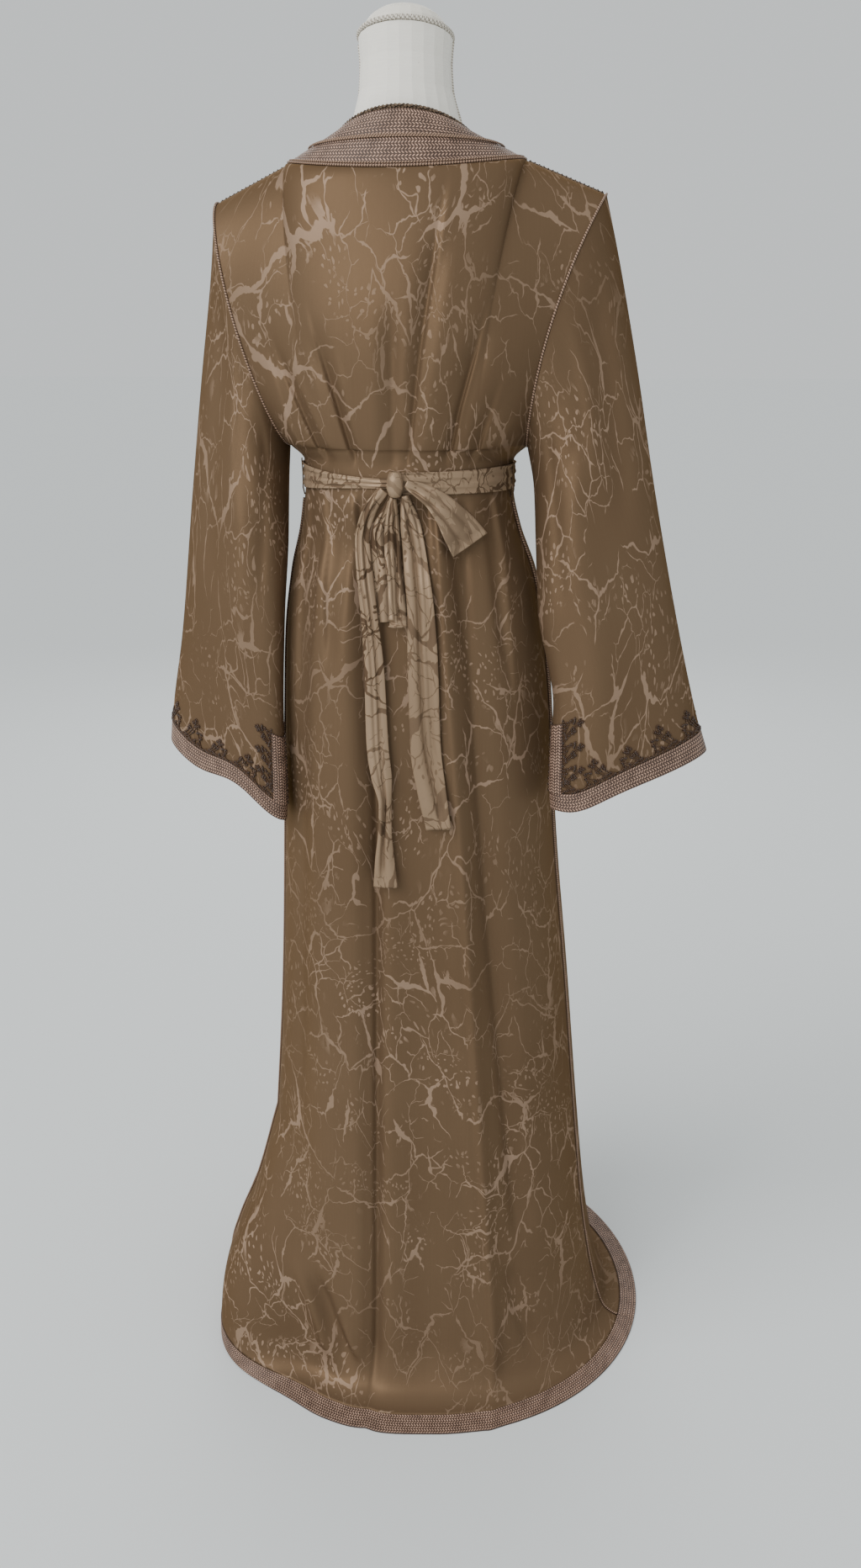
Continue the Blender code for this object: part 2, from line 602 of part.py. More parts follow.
def wall(name, outer, inner, finish, closed=False):
    """Closed wall between an outer and an inner grid of rows and columns; closed joins its sides."""
    rows, columns = outer.shape[:2]
    count = rows * columns
    faces = []
    last = columns if closed else columns - 1
    for row in range(rows - 1):
        for col in range(last):
            after = (col + 1) % columns
            a, b = row * columns + col, row * columns + after
            c, d = a + columns, b + columns
            faces.append((a, b, d, c))
            faces.append((count + a, count + c, count + d, count + b))
    for row in (0, rows - 1):
        for col in range(last):
            a = row * columns + col
            b = row * columns + (col + 1) % columns
            faces.append((a, count + a, count + b, b))
    if not closed:
        for col in (0, columns - 1):
            for row in range(rows - 1):
                a = row * columns + col
                c = a + columns
                faces.append((a, c, count + c, count + a))
    points = np.concatenate([outer.reshape(-1, 3), inner.reshape(-1, 3)])
    return add_object(name, points, faces, finish)


def tube(name, sections, finish, closed=False):
    """Solid through closed sections of points; closed joins the last section to the first."""
    rows, sides = sections.shape[:2]
    faces = []
    for row in range(rows if closed else rows - 1):
        after = (row + 1) % rows
        for side in range(sides):
            turn = (side + 1) % sides
            faces.append(
                (row * sides + side, row * sides + turn, after * sides + turn, after * sides + side)
            )
    if not closed:
        faces.append(tuple(reversed(range(sides))))
        faces.append(tuple((rows - 1) * sides + side for side in range(sides)))
    return add_object(name, sections.reshape(-1, 3), faces, finish)


def seam_shift(angle, gap, along):
    """Angle moved by a gap of cloth at this height, away from a seam."""
    here = body_outline(angle, along)
    return gap / np.hypot(here[..., 0], here[..., 1])


def lower_rows():
    """Lengths up from the hem where the panels have rows, from above the hem band to the armpit."""
    start = HEM_BAND + SEAM
    close = np.linspace(start, FLOOR_END, 5)
    middle = np.linspace(FLOOR_END, GATHER_START, LOWER_ROWS - 9)[1:]
    gathered = np.linspace(GATHER_START, GATHER_END, 4)[1:]
    belted = along_of(np.array([BELT_LOW - BELT_MARGIN, WAIST, BELT_HIGH + BELT_MARGIN]))
    return np.concatenate([close, middle, gathered, belted, [BODY_SECTIONS[-1][0]]])


def panel_walls(name, lower, upper, columns, finish="taupe_satin"):
    """Panel from its lower grid and its yoke patch, outer and inner, joined at the armpit row."""
    along = lower_rows()
    across = np.linspace(0.0, 1.0, columns + 1)
    parts = np.linspace(0.0, 1.0, UPPER_ROWS + 1)[1:]
    parts[-1] = 1 - TOP_SEAM
    grids = []
    for out in (0.0, -CLOTH):
        low = lower(across[None, :], along[:, None], out)
        high = upper(across[None, :], parts[:, None], out)
        grids.append(np.concatenate([low, high]))
    return wall(name, grids[0], grids[1], finish)


def with_folds(points):
    """Yoke points pushed by the folds, straight back or front."""
    depth = fold_depth(points[..., 0], points[..., 2], points[..., 1])
    moved = points.copy()
    moved[..., 1] += depth * np.sign(points[..., 1])
    return moved


def back_lower(across, along, out):
    """Lower back between the two side seams."""
    inset = seam_shift(SEAM_ANGLE, SEAM / 2, along)
    angle = SEAM_ANGLE + inset + (math.pi - 2 * SEAM_ANGLE - 2 * inset) * across
    return body_surface(angle, along, out)


def back_upper(across, part, out):
    """Upper back, moved out along its normal."""
    inset = SEAM / 2 / BACK_WIDTH
    return moved_out(lambda u, v: with_folds(yoke_back(u, v)), inset + (1 - 2 * inset) * across, part, out)


def front_angles(side, across, along):
    """Angles across a lower front, from the side seam to the front band."""
    inset = seam_shift(SEAM_ANGLE, SEAM / 2, along)
    start = SEAM_ANGLE - inset
    end = front_band_angle("left", along) + inset
    if side == "right":
        start = -math.pi - SEAM_ANGLE + inset
        end = front_band_angle("right", along) - inset
    return start + (end - start) * across


def front_lower(side):
    """Lower front as a surface function."""
    return lambda across, along, out: body_surface(front_angles(side, across, along), along, out)


def front_upper(side):
    """Upper front as a surface function."""
    way = -1.0 if side == "left" else 1.0
    inset = SEAM / 2 / FRONT_WIDTH
    return lambda across, part, out: moved_out(
        lambda u, v: with_folds(yoke_front(side, u, v)), inset + (1 - 2 * inset) * across, part, way * out
    )


def build_panels():
    """Back and the two fronts."""
    panel_walls("kaftan_back", back_lower, back_upper, BACK_COLUMNS)
    for side in ("left", "right"):
        panel_walls("kaftan_front_" + side, front_lower(side), front_upper(side), FRONT_COLUMNS)


def build_hem_bands():
    """Hem bands below the back and each front, a little proud of the cloth."""
    along = np.array([0.0, HEM_BAND / 2, HEM_BAND])[:, None]
    spans = {
        "hem_band_back": (back_lower, BACK_COLUMNS),
        "hem_band_front_left": (front_lower("left"), FRONT_COLUMNS),
        "hem_band_front_right": (front_lower("right"), FRONT_COLUMNS),
    }
    for name, (surface, columns) in spans.items():
        across = np.linspace(0.0, 1.0, columns + 1)[None, :]
        outer = surface(across, along, TRIM_LIFT)
        inner = surface(across, along, TRIM_LIFT - TRIM)
        wall(name, outer, inner, "sfifa_braid")


def build_front_bands():
    """Front bands from the hem up to the belt level, where the neckband goes on."""
    rows = np.concatenate([[0.0], lower_rows()])
    rows[-1] -= TRIM
    rows = rows[:, None]
    for side in ("left", "right"):
        edge = front_band_angle(side, rows)
        middle = -math.pi / 2
        gap = seam_shift(middle, SEAM / 2, rows)
        away = gap if side == "left" else -gap
        across = np.linspace(0.0, 1.0, 4)[None, :]
        angle = (edge - away) * (1 - across) + (middle + away) * across
        outer = body_surface(angle, rows, TRIM_LIFT)
        inner = body_surface(angle, rows, TRIM_LIFT - TRIM)
        wall("front_band_" + side, outer, inner, "sfifa_braid")


def neck_band_surface(run, share, out=0.0):
    """Neckband from its outer edge (share 0) to its neck edge (share 1).

    run goes from 0 (left front, armpit level) by 1 (left shoulder) and 2 (right shoulder) to 3.
    """
    run, share = np.broadcast_arrays(np.asarray(run, float), np.asarray(share, float))
    mirror = np.array([-1.0, 1.0, 1.0])

    def edge(which):
        front_left = neck_front_edge(rise_share(np.clip(run, 0, 1)), which)
        front_right = neck_front_edge(rise_share(np.clip(3 - run, 0, 1)), which) * mirror
        back = neck_back_edge(np.clip(run - 1, 0, 1) * math.pi, which)
        choose = run[..., None]
        return np.where(choose < 1, front_left, np.where(choose > 2, front_right, back))

    outer = edge("outer")
    inner = edge("inner")
    here = outer * (1 - share[..., None]) + inner * share[..., None]
    ahead = np.gradient(here, axis=0)
    normal = unit(np.cross(ahead, inner - outer))
    crown = NECK_CROWN * np.sin(math.pi * share)
    return here + normal * (crown + out)[..., None]


def build_neck_bands():
    """Two strips of the neckband and the dark cord on its neck edge."""
    front = np.linspace(0.0, 1.0, UPPER_ROWS + 1)
    back = 1 + np.linspace(0.0, 1.0, BACK_COLUMNS - 2 * SHOULDER_COLUMNS + 1)
    run = np.concatenate([front[:-1], back, 2 + front[1:]])[:, None]
    gap = SEAM / NECK_WIDTH
    strips = {
        "neckband_outer": (4 * gap, 0.5 - gap / 2),
        "neckband_inner": (0.5 + gap / 2, 1.0),
    }
    for name, (low, high) in strips.items():
        share = np.linspace(low, high, 3)[None, :]
        outer = neck_band_surface(run, share, TRIM_LIFT)
        inner = neck_band_surface(run, share, TRIM_LIFT - TRIM)
        wall(name, outer, inner, "sfifa_braid")
    edge = neck_band_surface(run, np.array([[1.0]]))[:, 0]
    below = neck_band_surface(run, np.array([[0.9]]))[:, 0]
    way = unit(edge - below)
    ahead = unit(np.gradient(edge, axis=0))
    out = unit(np.cross(way, ahead))
    centre = edge + way * (NECK_CORD_RADIUS + NECK_CORD_GAP)
    keep = centre[:, 2] > NECK_CORD_END
    turns = np.linspace(0, 2 * math.pi, 7)[:-1]
    ring = (
        way[keep, None] * np.cos(turns)[None, :, None] + out[keep, None] * np.sin(turns)[None, :, None]
    ) * NECK_CORD_RADIUS
    tube("neck_edge_cord", centre[keep, None] + ring, "dark_cord")


def build_sleeves():
    """Bell sleeves and their cuff bands."""
    turns = np.linspace(0, 2 * math.pi, 2 * UPPER_ROWS + 1)[:-1][None, :]
    cuff = 1 - CUFF_BAND / SLEEVE_LENGTH
    gap = SEAM / SLEEVE_LENGTH
    rows = np.linspace(0.0, cuff - gap, SLEEVE_ROWS + 1)[:, None]
    ends = np.array([cuff, 1.0])[:, None]
    for side in ("left", "right"):
        outer = sleeve_surface(side, turns, rows)
        inner = sleeve_surface(side, turns, rows, -CLOTH)
        wall("sleeve_" + side, outer, inner, "taupe_satin", closed=True)
        outer = sleeve_surface(side, turns, ends, TRIM_LIFT)
        inner = sleeve_surface(side, turns, ends, TRIM_LIFT - TRIM)
        wall("cuff_band_" + side, outer, inner, "sfifa_braid", closed=True)


def strip_on(name, surface, first, half_width, low, high, finish):
    """Narrow strip laid on a surface: four corners at each step, moved out."""
    corners = [
        surface(first, -half_width, low),
        surface(first, half_width, low),
        surface(first, half_width, high),
        surface(first, -half_width, high),
    ]
    return tube(name, np.stack(corners, axis=1), finish)


def build_side_cords():
    """Cord over each side seam, from the hem band up to the belt."""
    along = lower_rows()
    along = along[along < along_of(CARRIER_LOW) - SIDE_CORD_TOP]
    for side in ("left", "right"):

        def surface(rows, offset, out, side=side):
            shift = seam_shift(side_seam(side), offset, rows)
            return body_surface(side_seam(side) + shift, rows, out)

        strip_on(
            "side_cord_" + side, surface, along,
            SIDE_CORD_HALF_WIDTH, SIDE_CORD_LOW, SIDE_CORD_HIGH, "sfifa_braid",
        )


def build_belt():
    """Belt stretches round the waist, and the carriers at the side seams."""
    high = along_of(BELT_HIGH)
    low = along_of(BELT_LOW)
    right_seam = math.pi - SEAM_ANGLE
    gap = SEAM / WAIST_RADIUS
    spans = {
        "belt_back_left": (SEAM_ANGLE + gap, BELT_END["left"], 9, BELT_NARROWING["left"]),
        "belt_back_right": (right_seam - gap, BELT_END["right"], 9, BELT_NARROWING["right"]),
        "belt_front": (SEAM_ANGLE - gap, right_seam + gap - 2 * math.pi, 22, 0.0),
    }
    for name, (start, end, count, narrowing) in spans.items():
        across = np.linspace(0.0, 1.0, count + 1)[None, :]
        part = np.linspace(-0.5, 0.5, 3)[:, None]
        tall = (high - low) * (1 - narrowing * smooth_step(across * 1.1))
        rows = (high + low) / 2 + part * tall
        angle = start + (end - start) * across
        outer = body_surface(angle, rows, BELT_LIFT + RIBBON, folded=False)
        inner = body_surface(angle, rows, BELT_LIFT, folded=False)
        wall(name, outer, inner, "champagne_satin")
    for side in ("left", "right"):
        heights = np.array([CARRIER_LOW, BELT_LOW - 0.002, BELT_HIGH + 0.001, CARRIER_HIGH])
        rows = along_of(heights)
        over_belt = BELT_LIFT + RIBBON + SEAM
        lift = np.array([CARRIER_LIFT, over_belt, over_belt, over_belt - SEAM])

        def surface(along, offset, out, side=side, lift=lift):
            shift = seam_shift(side_seam(side), offset, along)
            return body_surface(side_seam(side) + shift, along, lift + out, folded=False)

        strip_on("belt_carrier_" + side, surface, rows, CARRIER_HALF_WIDTH, 0.0, CLOTH, "taupe_satin")


def skirt_back_y(x, z):
    """Y of the back's outer face at a place given by x and height."""
    along = along_of(z)
    knots = column(BODY_SECTIONS, 0)
    wide = np.where(x > 0, curve_through(knots, column(BODY_SECTIONS, 2), along),
                    curve_through(knots, column(BODY_SECTIONS, 3), along))
    deep = curve_through(knots, column(BODY_SECTIONS, 4), along)
    flat = deep * np.sqrt(np.clip(1 - (x / wide) ** 2, 0, 1))
    return flat + np.maximum(fold_depth(x, z, flat + 1.0), RIBBON_TROUGH)


def build_bow():
    """Knot, loops and tails on the back of the skirt."""
    rings = []
    for latitude in np.linspace(KNOT_CUT - math.pi / 2, math.pi / 2 - KNOT_CUT, 6):
        turns = np.linspace(0, 2 * math.pi, 13)[:-1]
        flat = np.cos(latitude) ** KNOT_POWER
        rise = np.sin(latitude) / math.cos(KNOT_CUT)
        rings.append(
            np.stack(
                [
                    KNOT_CENTRE[0] + KNOT_HALF[0] * flat * np.cos(turns),
                    KNOT_CENTRE[1] + KNOT_HALF[1] * flat * np.sin(turns),
                    KNOT_CENTRE[2] + KNOT_HALF[2] * rise + turns * 0,
                ],
                axis=-1,
            )
        )
    tube("bow_knot", np.array(rings), "champagne_satin")
    for name, rows in RIBBONS.items():
        length = np.linspace(0.0, 1.0, len(rows))
        fine = np.linspace(0.0, 1.0, 2 * len(rows) - 1)
        height, middle, lift, half, tilt = (
            curve_through(length, column(rows, index), fine)[:, None] for index in range(5)
        )
        across = np.array([-1.0, -0.4, 0.4, 1.0])[None, :]
        slant = np.gradient(height[:, 0])[:, None]
        sideways = np.gradient(middle[:, 0])[:, None]
        size = np.hypot(slant, sideways)
        x = middle + across * half * -slant / size
        z = height + across * half * sideways / size
        crown = RIBBON_CROWN * (1 - across ** 2)
        y = skirt_back_y(x, z) + lift + tilt * across + crown
        outer = np.stack([x, y + RIBBON, z], axis=-1)
        inner = np.stack([x, y, z], axis=-1)
        wall(name, outer, inner, "champagne_satin")


def build_form():
    """Dress form: torso and neck, neck ring, cap, pole and base."""
    turns = np.linspace(0, 2 * math.pi, FORM_SIDES + 1)[:-1]
    cosine = np.cos(turns)
    sine = np.sin(turns)
    sections = []
    for height, wide, back, front, power in FORM_SECTIONS:
        x = wide * np.sign(cosine) * np.abs(cosine) ** (2 / power)
        deep = np.where(sine > 0, back, front)
        y = deep * np.sign(sine) * np.abs(sine) ** (2 / power)
        lean = np.clip((height - TILT_FROM) / (NECK_TOP - TILT_FROM), 0, 1) * math.tan(NECK_TILT)
        sections.append(np.stack([x, y, height + y * lean], axis=-1))
    tube("dress_form", np.array(sections), "ivory_linen")

    def tilted(radius, height):
        lifted = height + radius * sine * math.tan(NECK_TILT)
        return np.stack([radius * cosine, radius * sine, lifted], axis=-1)

    ring_middle = FORM_SECTIONS[-1][1] - TRIM_RING_INSET
    corners = np.linspace(0, 2 * math.pi, 7)[:-1]
    ring_height = NECK_TOP + TRIM_RING_RADIUS + SEAM
    reach = ring_middle + TRIM_RING_RADIUS * np.cos(corners)
    level = ring_height + TRIM_RING_RADIUS * np.sin(corners)
    ring = np.array([tilted(across, up) for across, up in zip(reach, level)])
    tube("neck_ring", ring, "ivory_linen", closed=True)
    cap_radius = ring_middle - TRIM_RING_RADIUS - SEAM
    steps = np.linspace(0.0, math.radians(80), 6)
    cap = [tilted(cap_radius, NECK_TOP + SEAM)]
    cap += [
        tilted(cap_radius * math.cos(a), ring_height + CAP_HEIGHT * math.sin(a)) for a in steps
    ]
    tube("neck_cap", np.array(cap), "ivory_linen")

    def disc(radius, height):
        return np.stack([radius * cosine, radius * sine, height + 0 * cosine], axis=-1)

    base = [
        disc(BASE_RADIUS - BASE_EDGE, 0.0),
        disc(BASE_RADIUS, BASE_EDGE),
        disc(BASE_RADIUS, BASE_THICKNESS - BASE_EDGE),
        disc(BASE_RADIUS - BASE_EDGE, BASE_THICKNESS),
    ]
    tube("stand_base", np.array(base), "black_metal")
    pole = [disc(POLE_RADIUS, BASE_THICKNESS + SEAM), disc(POLE_RADIUS, FORM_SECTIONS[0][0] - SEAM)]
    tube("stand_pole", np.array(pole), "black_metal")


def main():
    """Build the garment and the form that it stands on."""
    clear_scene()
    build_panels()
    build_hem_bands()
    build_front_bands()
    build_neck_bands()
    build_sleeves()
    build_side_cords()
    build_belt()
    build_bow()
    build_form()


main()
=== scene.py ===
"""Looks of the Moroccan kaftan and its dress form: fine cloth, trims, embroidery, light and camera.

Metres, +Z up. The front faces -Y, the back +Y, and the wearer's left is +X. The cloth surfaces
are the ones that the solids were cut from, read on a finer grid, with smaller creases added.
"""
import enum
import logging
import math
from dataclasses import dataclass, field
from typing import Callable, Optional, Sequence

import bpy
import mathutils
import numpy as np
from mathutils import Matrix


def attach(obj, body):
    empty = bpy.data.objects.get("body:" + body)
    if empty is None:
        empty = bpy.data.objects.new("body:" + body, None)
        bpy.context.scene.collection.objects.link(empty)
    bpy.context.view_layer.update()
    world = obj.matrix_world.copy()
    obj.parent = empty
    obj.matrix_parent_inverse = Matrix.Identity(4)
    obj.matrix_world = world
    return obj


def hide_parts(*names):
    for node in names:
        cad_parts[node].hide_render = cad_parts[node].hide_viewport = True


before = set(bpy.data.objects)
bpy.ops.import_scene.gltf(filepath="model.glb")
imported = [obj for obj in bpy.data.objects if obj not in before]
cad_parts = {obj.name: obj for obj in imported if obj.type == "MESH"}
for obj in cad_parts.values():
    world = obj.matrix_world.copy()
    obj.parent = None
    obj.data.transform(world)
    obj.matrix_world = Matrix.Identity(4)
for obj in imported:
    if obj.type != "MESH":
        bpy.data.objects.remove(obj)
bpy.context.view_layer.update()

Array = np.ndarray
Patch = Callable[[Array, Array], Array]
Surface = Callable[[Array, Array, float], Array]
LOG = logging.getLogger("kaftan")
TINY = 1e-4


class Side(enum.Enum):
    """Wearer's side."""

    LEFT = "left"
    RIGHT = "right"

    @property
    def sign(self) -> float:
        """+1 for the wearer's left (+X), -1 for the right."""
        return 1.0 if self is Side.LEFT else -1.0


class Held(enum.Enum):
    """How a sheet of cloth is held."""

    HUNG = "hung"
    DRAPED = "draped"
    FOLDED = "folded"


# Small sums on arrays of points


def curve_through(knots: Sequence[float], values: Sequence[float], at: Array) -> Array:
    """Smooth curve through points that never overshoots them.

    Formula: cubic Hermite pieces whose slope at a knot is the harmonic mean of its neighbours'
    slopes, or level where those have opposite signs.

    Args:
        knots: rising positions.
        values: value at each position.
        at: where the curve is read.

    Returns:
        The values there.
    """
    knots = np.asarray(knots, float)
    values = np.asarray(values, float)
    at = np.clip(np.asarray(at, float), knots[0], knots[-1])
    gaps = np.diff(knots)
    slopes = np.diff(values) / gaps
    bends = np.zeros(len(knots))
    bends[0], bends[-1] = slopes[0], slopes[-1]
    same_way = slopes[1:] * slopes[:-1] > 0
    safe = np.where(same_way, slopes[1:] + slopes[:-1], 1.0)
    bends[1:-1] = np.where(same_way, 2 * slopes[1:] * slopes[:-1] / safe, 0.0)
    cell = np.clip(np.searchsorted(knots, at, side="right") - 1, 0, len(gaps) - 1)
    gap = gaps[cell]
    part = (at - knots[cell]) / gap
    start = values[cell] * (1 + 2 * part) * (1 - part) ** 2
    end = values[cell + 1] * part ** 2 * (3 - 2 * part)
    lean_in = bends[cell] * gap * part * (1 - part) ** 2
    lean_out = bends[cell + 1] * gap * part ** 2 * (part - 1)
    return start + end + lean_in + lean_out


def column(table: Sequence[Sequence[float]], index: int) -> list[float]:
    """One column of a table of rows."""
    return [row[index] for row in table]


def read_table(table: Sequence[Sequence[float]], at: Array) -> list[Array]:
    """Smooth curves through all columns after the first, read at places in the first."""
    knots = column(table, 0)
    return [curve_through(knots, column(table, i), at) for i in range(1, len(table[0]))]


def unit(vectors: Array) -> Array:
    """Vectors scaled to length one."""
    return vectors / np.maximum(np.linalg.norm(vectors, axis=-1, keepdims=True), 1e-12)


def smooth_step(value: Array) -> Array:
    """0 to 1 with level ends: three times the square less twice the cube."""
    value = np.clip(value, 0.0, 1.0)
    return value * value * (3 - 2 * value)


def run_length(points: Array, axis: int) -> Array:
    """Length of the polyline along one axis of a grid, from 0 at its start.

    Args:
        points: grid of points, last axis x, y, z.
        axis: the axis that the polylines run along.

    Returns:
        The running length at each point.
    """
    steps = np.linalg.norm(np.diff(points, axis=axis), axis=-1)
    pad = [(0, 0)] * steps.ndim
    pad[axis] = (1, 0)
    return np.cumsum(np.pad(steps, pad), axis=axis)


def moved_out(patch: Patch, first: Array, second: Array, out: float) -> Array:
    """A patch moved along its normal, the cross product of small steps in its parameters.

    Args:
        patch: the surface.
        first: its first parameter.
        second: its second parameter.
        out: how far it is moved.

    Returns:
        The moved points.
    """
    one = patch(first + TINY, second) - patch(first - TINY, second)
    two = patch(first, second + TINY) - patch(first, second - TINY)
    return patch(first, second) + unit(np.cross(one, two)) * out


# Meshes


def quads(rows: int, columns: int, closed: bool) -> tuple[Array, Array]:
    """Quads of a grid, as vertex numbers and as places in its UV grid.

    Args:
        rows: points down the grid.
        columns: points across it.
        closed: whether the last column joins the first.

    Returns:
        Vertex numbers and UV numbers, four to a quad. The UV grid of a closed one has one
        column more, so the map doesn't run back at the join.
    """
    across = columns if closed else columns - 1
    row, col = np.meshgrid(np.arange(rows - 1), np.arange(across), indexing="ij")
    wide = columns + 1 if closed else columns
    corners = ((0, 0), (0, 1), (1, 1), (1, 0))
    vertex = np.stack([(row + r) * columns + (col + c) % columns for r, c in corners], axis=-1)
    place = np.stack([(row + r) * wide + (col + c) for r, c in corners], axis=-1)
    return vertex.reshape(-1, 4), place.reshape(-1, 4)


def make_object(name: str, points: Array, faces: list, uv: Optional[Array]) -> bpy.types.Object:
    """Smooth-shaded object from points and faces whose order already faces outwards.

    Args:
        name: object name.
        points: vertex positions.
        faces: vertex numbers of each face.
        uv: place in the cloth for each corner of each face, in metres, or None.

    Returns:
        The linked object.
    """
    mesh = bpy.data.meshes.new(name)
    mesh.from_pydata(points.tolist(), [], faces)
    if uv is not None:
        layer = mesh.uv_layers.new(name="cloth")
        layer.uv.foreach_set("vector", np.ascontiguousarray(uv, dtype=np.float32).ravel())
    mesh.shade_smooth()
    item = bpy.data.objects.new(name, mesh)
    bpy.context.scene.collection.objects.link(item)
    return item


def outward(points: Array, faces: Array) -> Array:
    """Faces turned so that the closed mesh has a positive volume, the sum of its corner products.

    Args:
        points: vertex positions.
        faces: four vertex numbers a face.

    Returns:
        The faces, turned round if need be.
    """
    a, b, c, d = (points[faces[:, i]] for i in range(4))
    volume = np.einsum("ij,ij->", a, np.cross(b, c)) + np.einsum("ij,ij->", a, np.cross(c, d))
    return faces if volume > 0 else faces[:, ::-1]


@dataclass
class Shell:
    """Closed wall of cloth between an outer and an inner grid of points."""

    name: str
    outer: Array
    inner: Array
    uv: Array
    closed: bool = False

    def build(self) -> bpy.types.Object:
        """Join both grids with rims all round into one closed mesh.

        Returns:
            The linked object.
        """
        rows, columns = self.outer.shape[:2]
        count = rows * columns
        flat = self.uv.reshape(-1, 2)
        vertex, place = quads(rows, columns, self.closed)
        faces = [vertex, vertex[:, ::-1] + count]
        places = [place, place[:, ::-1]]
        wide = self.uv.shape[1]
        last = columns if self.closed else columns - 1
        for row, turn in ((0, 1), (rows - 1, -1)):
            col = np.arange(last)
            a, b = row * columns + col, row * columns + (col + 1) % columns
            pa, pb = row * wide + col, row * wide + col + 1
            faces.append(np.stack([b, a, a + count, b + count], axis=-1)[:, ::turn])
            places.append(np.stack([pb, pa, pa, pb], axis=-1)[:, ::turn])
        if not self.closed:
            for col, turn in ((0, 1), (columns - 1, -1)):
                row = np.arange(rows - 1)
                a, c = row * columns + col, (row + 1) * columns + col
                pa, pc = row * wide + col, (row + 1) * wide + col
                faces.append(np.stack([a, c, c + count, a + count], axis=-1)[:, ::turn])
                places.append(np.stack([pa, pc, pc, pa], axis=-1)[:, ::turn])
        faces_all = np.concatenate(faces)
        places_all = np.concatenate(places)
        points = np.concatenate([self.outer.reshape(-1, 3), self.inner.reshape(-1, 3)])
        turned = outward(points, faces_all)
        if turned is not faces_all:
            places_all = places_all[:, ::-1]
        return make_object(self.name, points, turned.tolist(), flat[places_all])


def cloth_map(grid: Array, closed: bool, shift: tuple[float, float] = (0.0, 0.0)) -> Array:
    """Place in the cloth of each point: length across from the middle column, length up.

    Args:
        grid: outer points of the cloth.
        closed: whether it is a tube; its map gets one column more.
        shift: where in the woven pattern this piece is cut.

    Returns:
        Grid of u, v in metres.
    """
    if closed:
        grid = np.concatenate([grid, grid[:, :1]], axis=1)
    across = run_length(grid, 1)
    middle = grid.shape[1] // 2
    across = across - across[:, middle:middle + 1]
    up = run_length(grid[:, middle:middle + 1], 0) + across * 0
    return np.stack([across + shift[0], up + shift[1]], axis=-1)


def frame_along(path: Array) -> tuple[Array, Array]:
    """Two directions square to paths.

    Formula: the first is the path's run crossed with a steady slanting direction, the second is
    the run crossed with the first.

    Args:
        path: points along each path.

    Returns:
        Both directions at each point.
    """
    ahead = unit(np.gradient(path, axis=-2))
    lean = np.array([0.31, 0.53, 0.79])
    one = unit(np.cross(ahead, lean))
    return one, np.cross(ahead, one)


def sweep(
    name: str, paths: Array, radius: Array | float, sides: int, loop: bool = False
) -> bpy.types.Object:
    """Round cords along several paths, all in one mesh.

    Formula: each path point is the middle of a ring, radius times (first direction times cosine
    plus second direction times sine). Ends are closed by a point at the path's end.

    Args:
        name: object name.
        paths: paths, points, xyz.
        radius: radius at each point of a path, or one for all.
        sides: corners of a ring.
        loop: whether each path closes on itself.

    Returns:
        The object, with u along and v round the cord in metres.
    """
    count, steps = paths.shape[:2]
    one, two = frame_along(paths)
    if loop:
        wrapped = np.concatenate([paths[:, -1:], paths, paths[:, :1]], axis=1)
        one, two = (side[:, 1:-1] for side in frame_along(wrapped))
    turn = np.linspace(0, 2 * math.pi, sides + 1)[:-1]
    radius = np.broadcast_to(np.asarray(radius, float), (count, steps))[..., None, None]
    ring = one[:, :, None] * np.cos(turn)[:, None] + two[:, :, None] * np.sin(turn)[:, None]
    rings = paths[:, :, None] + ring * radius
    length = run_length(paths, 1)
    per = steps * sides + (0 if loop else 2)
    u = np.repeat(length[:, :, None], sides + 1, axis=2)
    v = np.broadcast_to(np.linspace(0, 1, sides + 1) * 2 * math.pi * float(radius.max()), u.shape)
    maps = np.stack([u, v], axis=-1)
    vertex, place = quads(steps, sides, True)
    if loop:
        col = np.arange(sides)
        last = (steps - 1) * sides
        join = np.stack([last + col, last + (col + 1) % sides, (col + 1) % sides, col], axis=-1)
        tail = (steps - 1) * (sides + 1)
        join_at = np.stack([tail + col, tail + col + 1, tail + col + 1, tail + col], axis=-1)
        vertex = np.concatenate([vertex, join])
        place = np.concatenate([place, join_at])
    starts = (np.arange(count) * per)[:, None, None]
    faces = (vertex[None] + starts).reshape(-1, 4)
    map_starts = (np.arange(count) * steps * (sides + 1))[:, None, None]
    places = (place[None] + map_starts).reshape(-1, 4)
    points = rings.reshape(count, -1, 3)
    flat = maps.reshape(-1, 2)
    if loop:
        faces, places = faces[:, ::-1], places[:, ::-1]
        return make_object(name, points.reshape(-1, 3), faces.tolist(), flat[places])
    points = np.concatenate([points, paths[:, :1], paths[:, -1:]], axis=1)
    col = np.arange(sides)
    head, foot = steps * sides, steps * sides + 1
    first = np.stack([(col + 1) % sides, col, col * 0 + head], axis=-1)
    final = (steps - 1) * sides
    second = np.stack([final + col, final + (col + 1) % sides, col * 0 + foot], axis=-1)
    caps = (np.concatenate([first, second])[None] + starts).reshape(-1, 3)
    body = faces[:, ::-1]
    uv = np.concatenate([flat[places[:, ::-1]].reshape(-1, 2), np.zeros((caps.size, 2))])
    return make_object(name, points.reshape(-1, 3), body.tolist() + caps[:, ::-1].tolist(), uv)


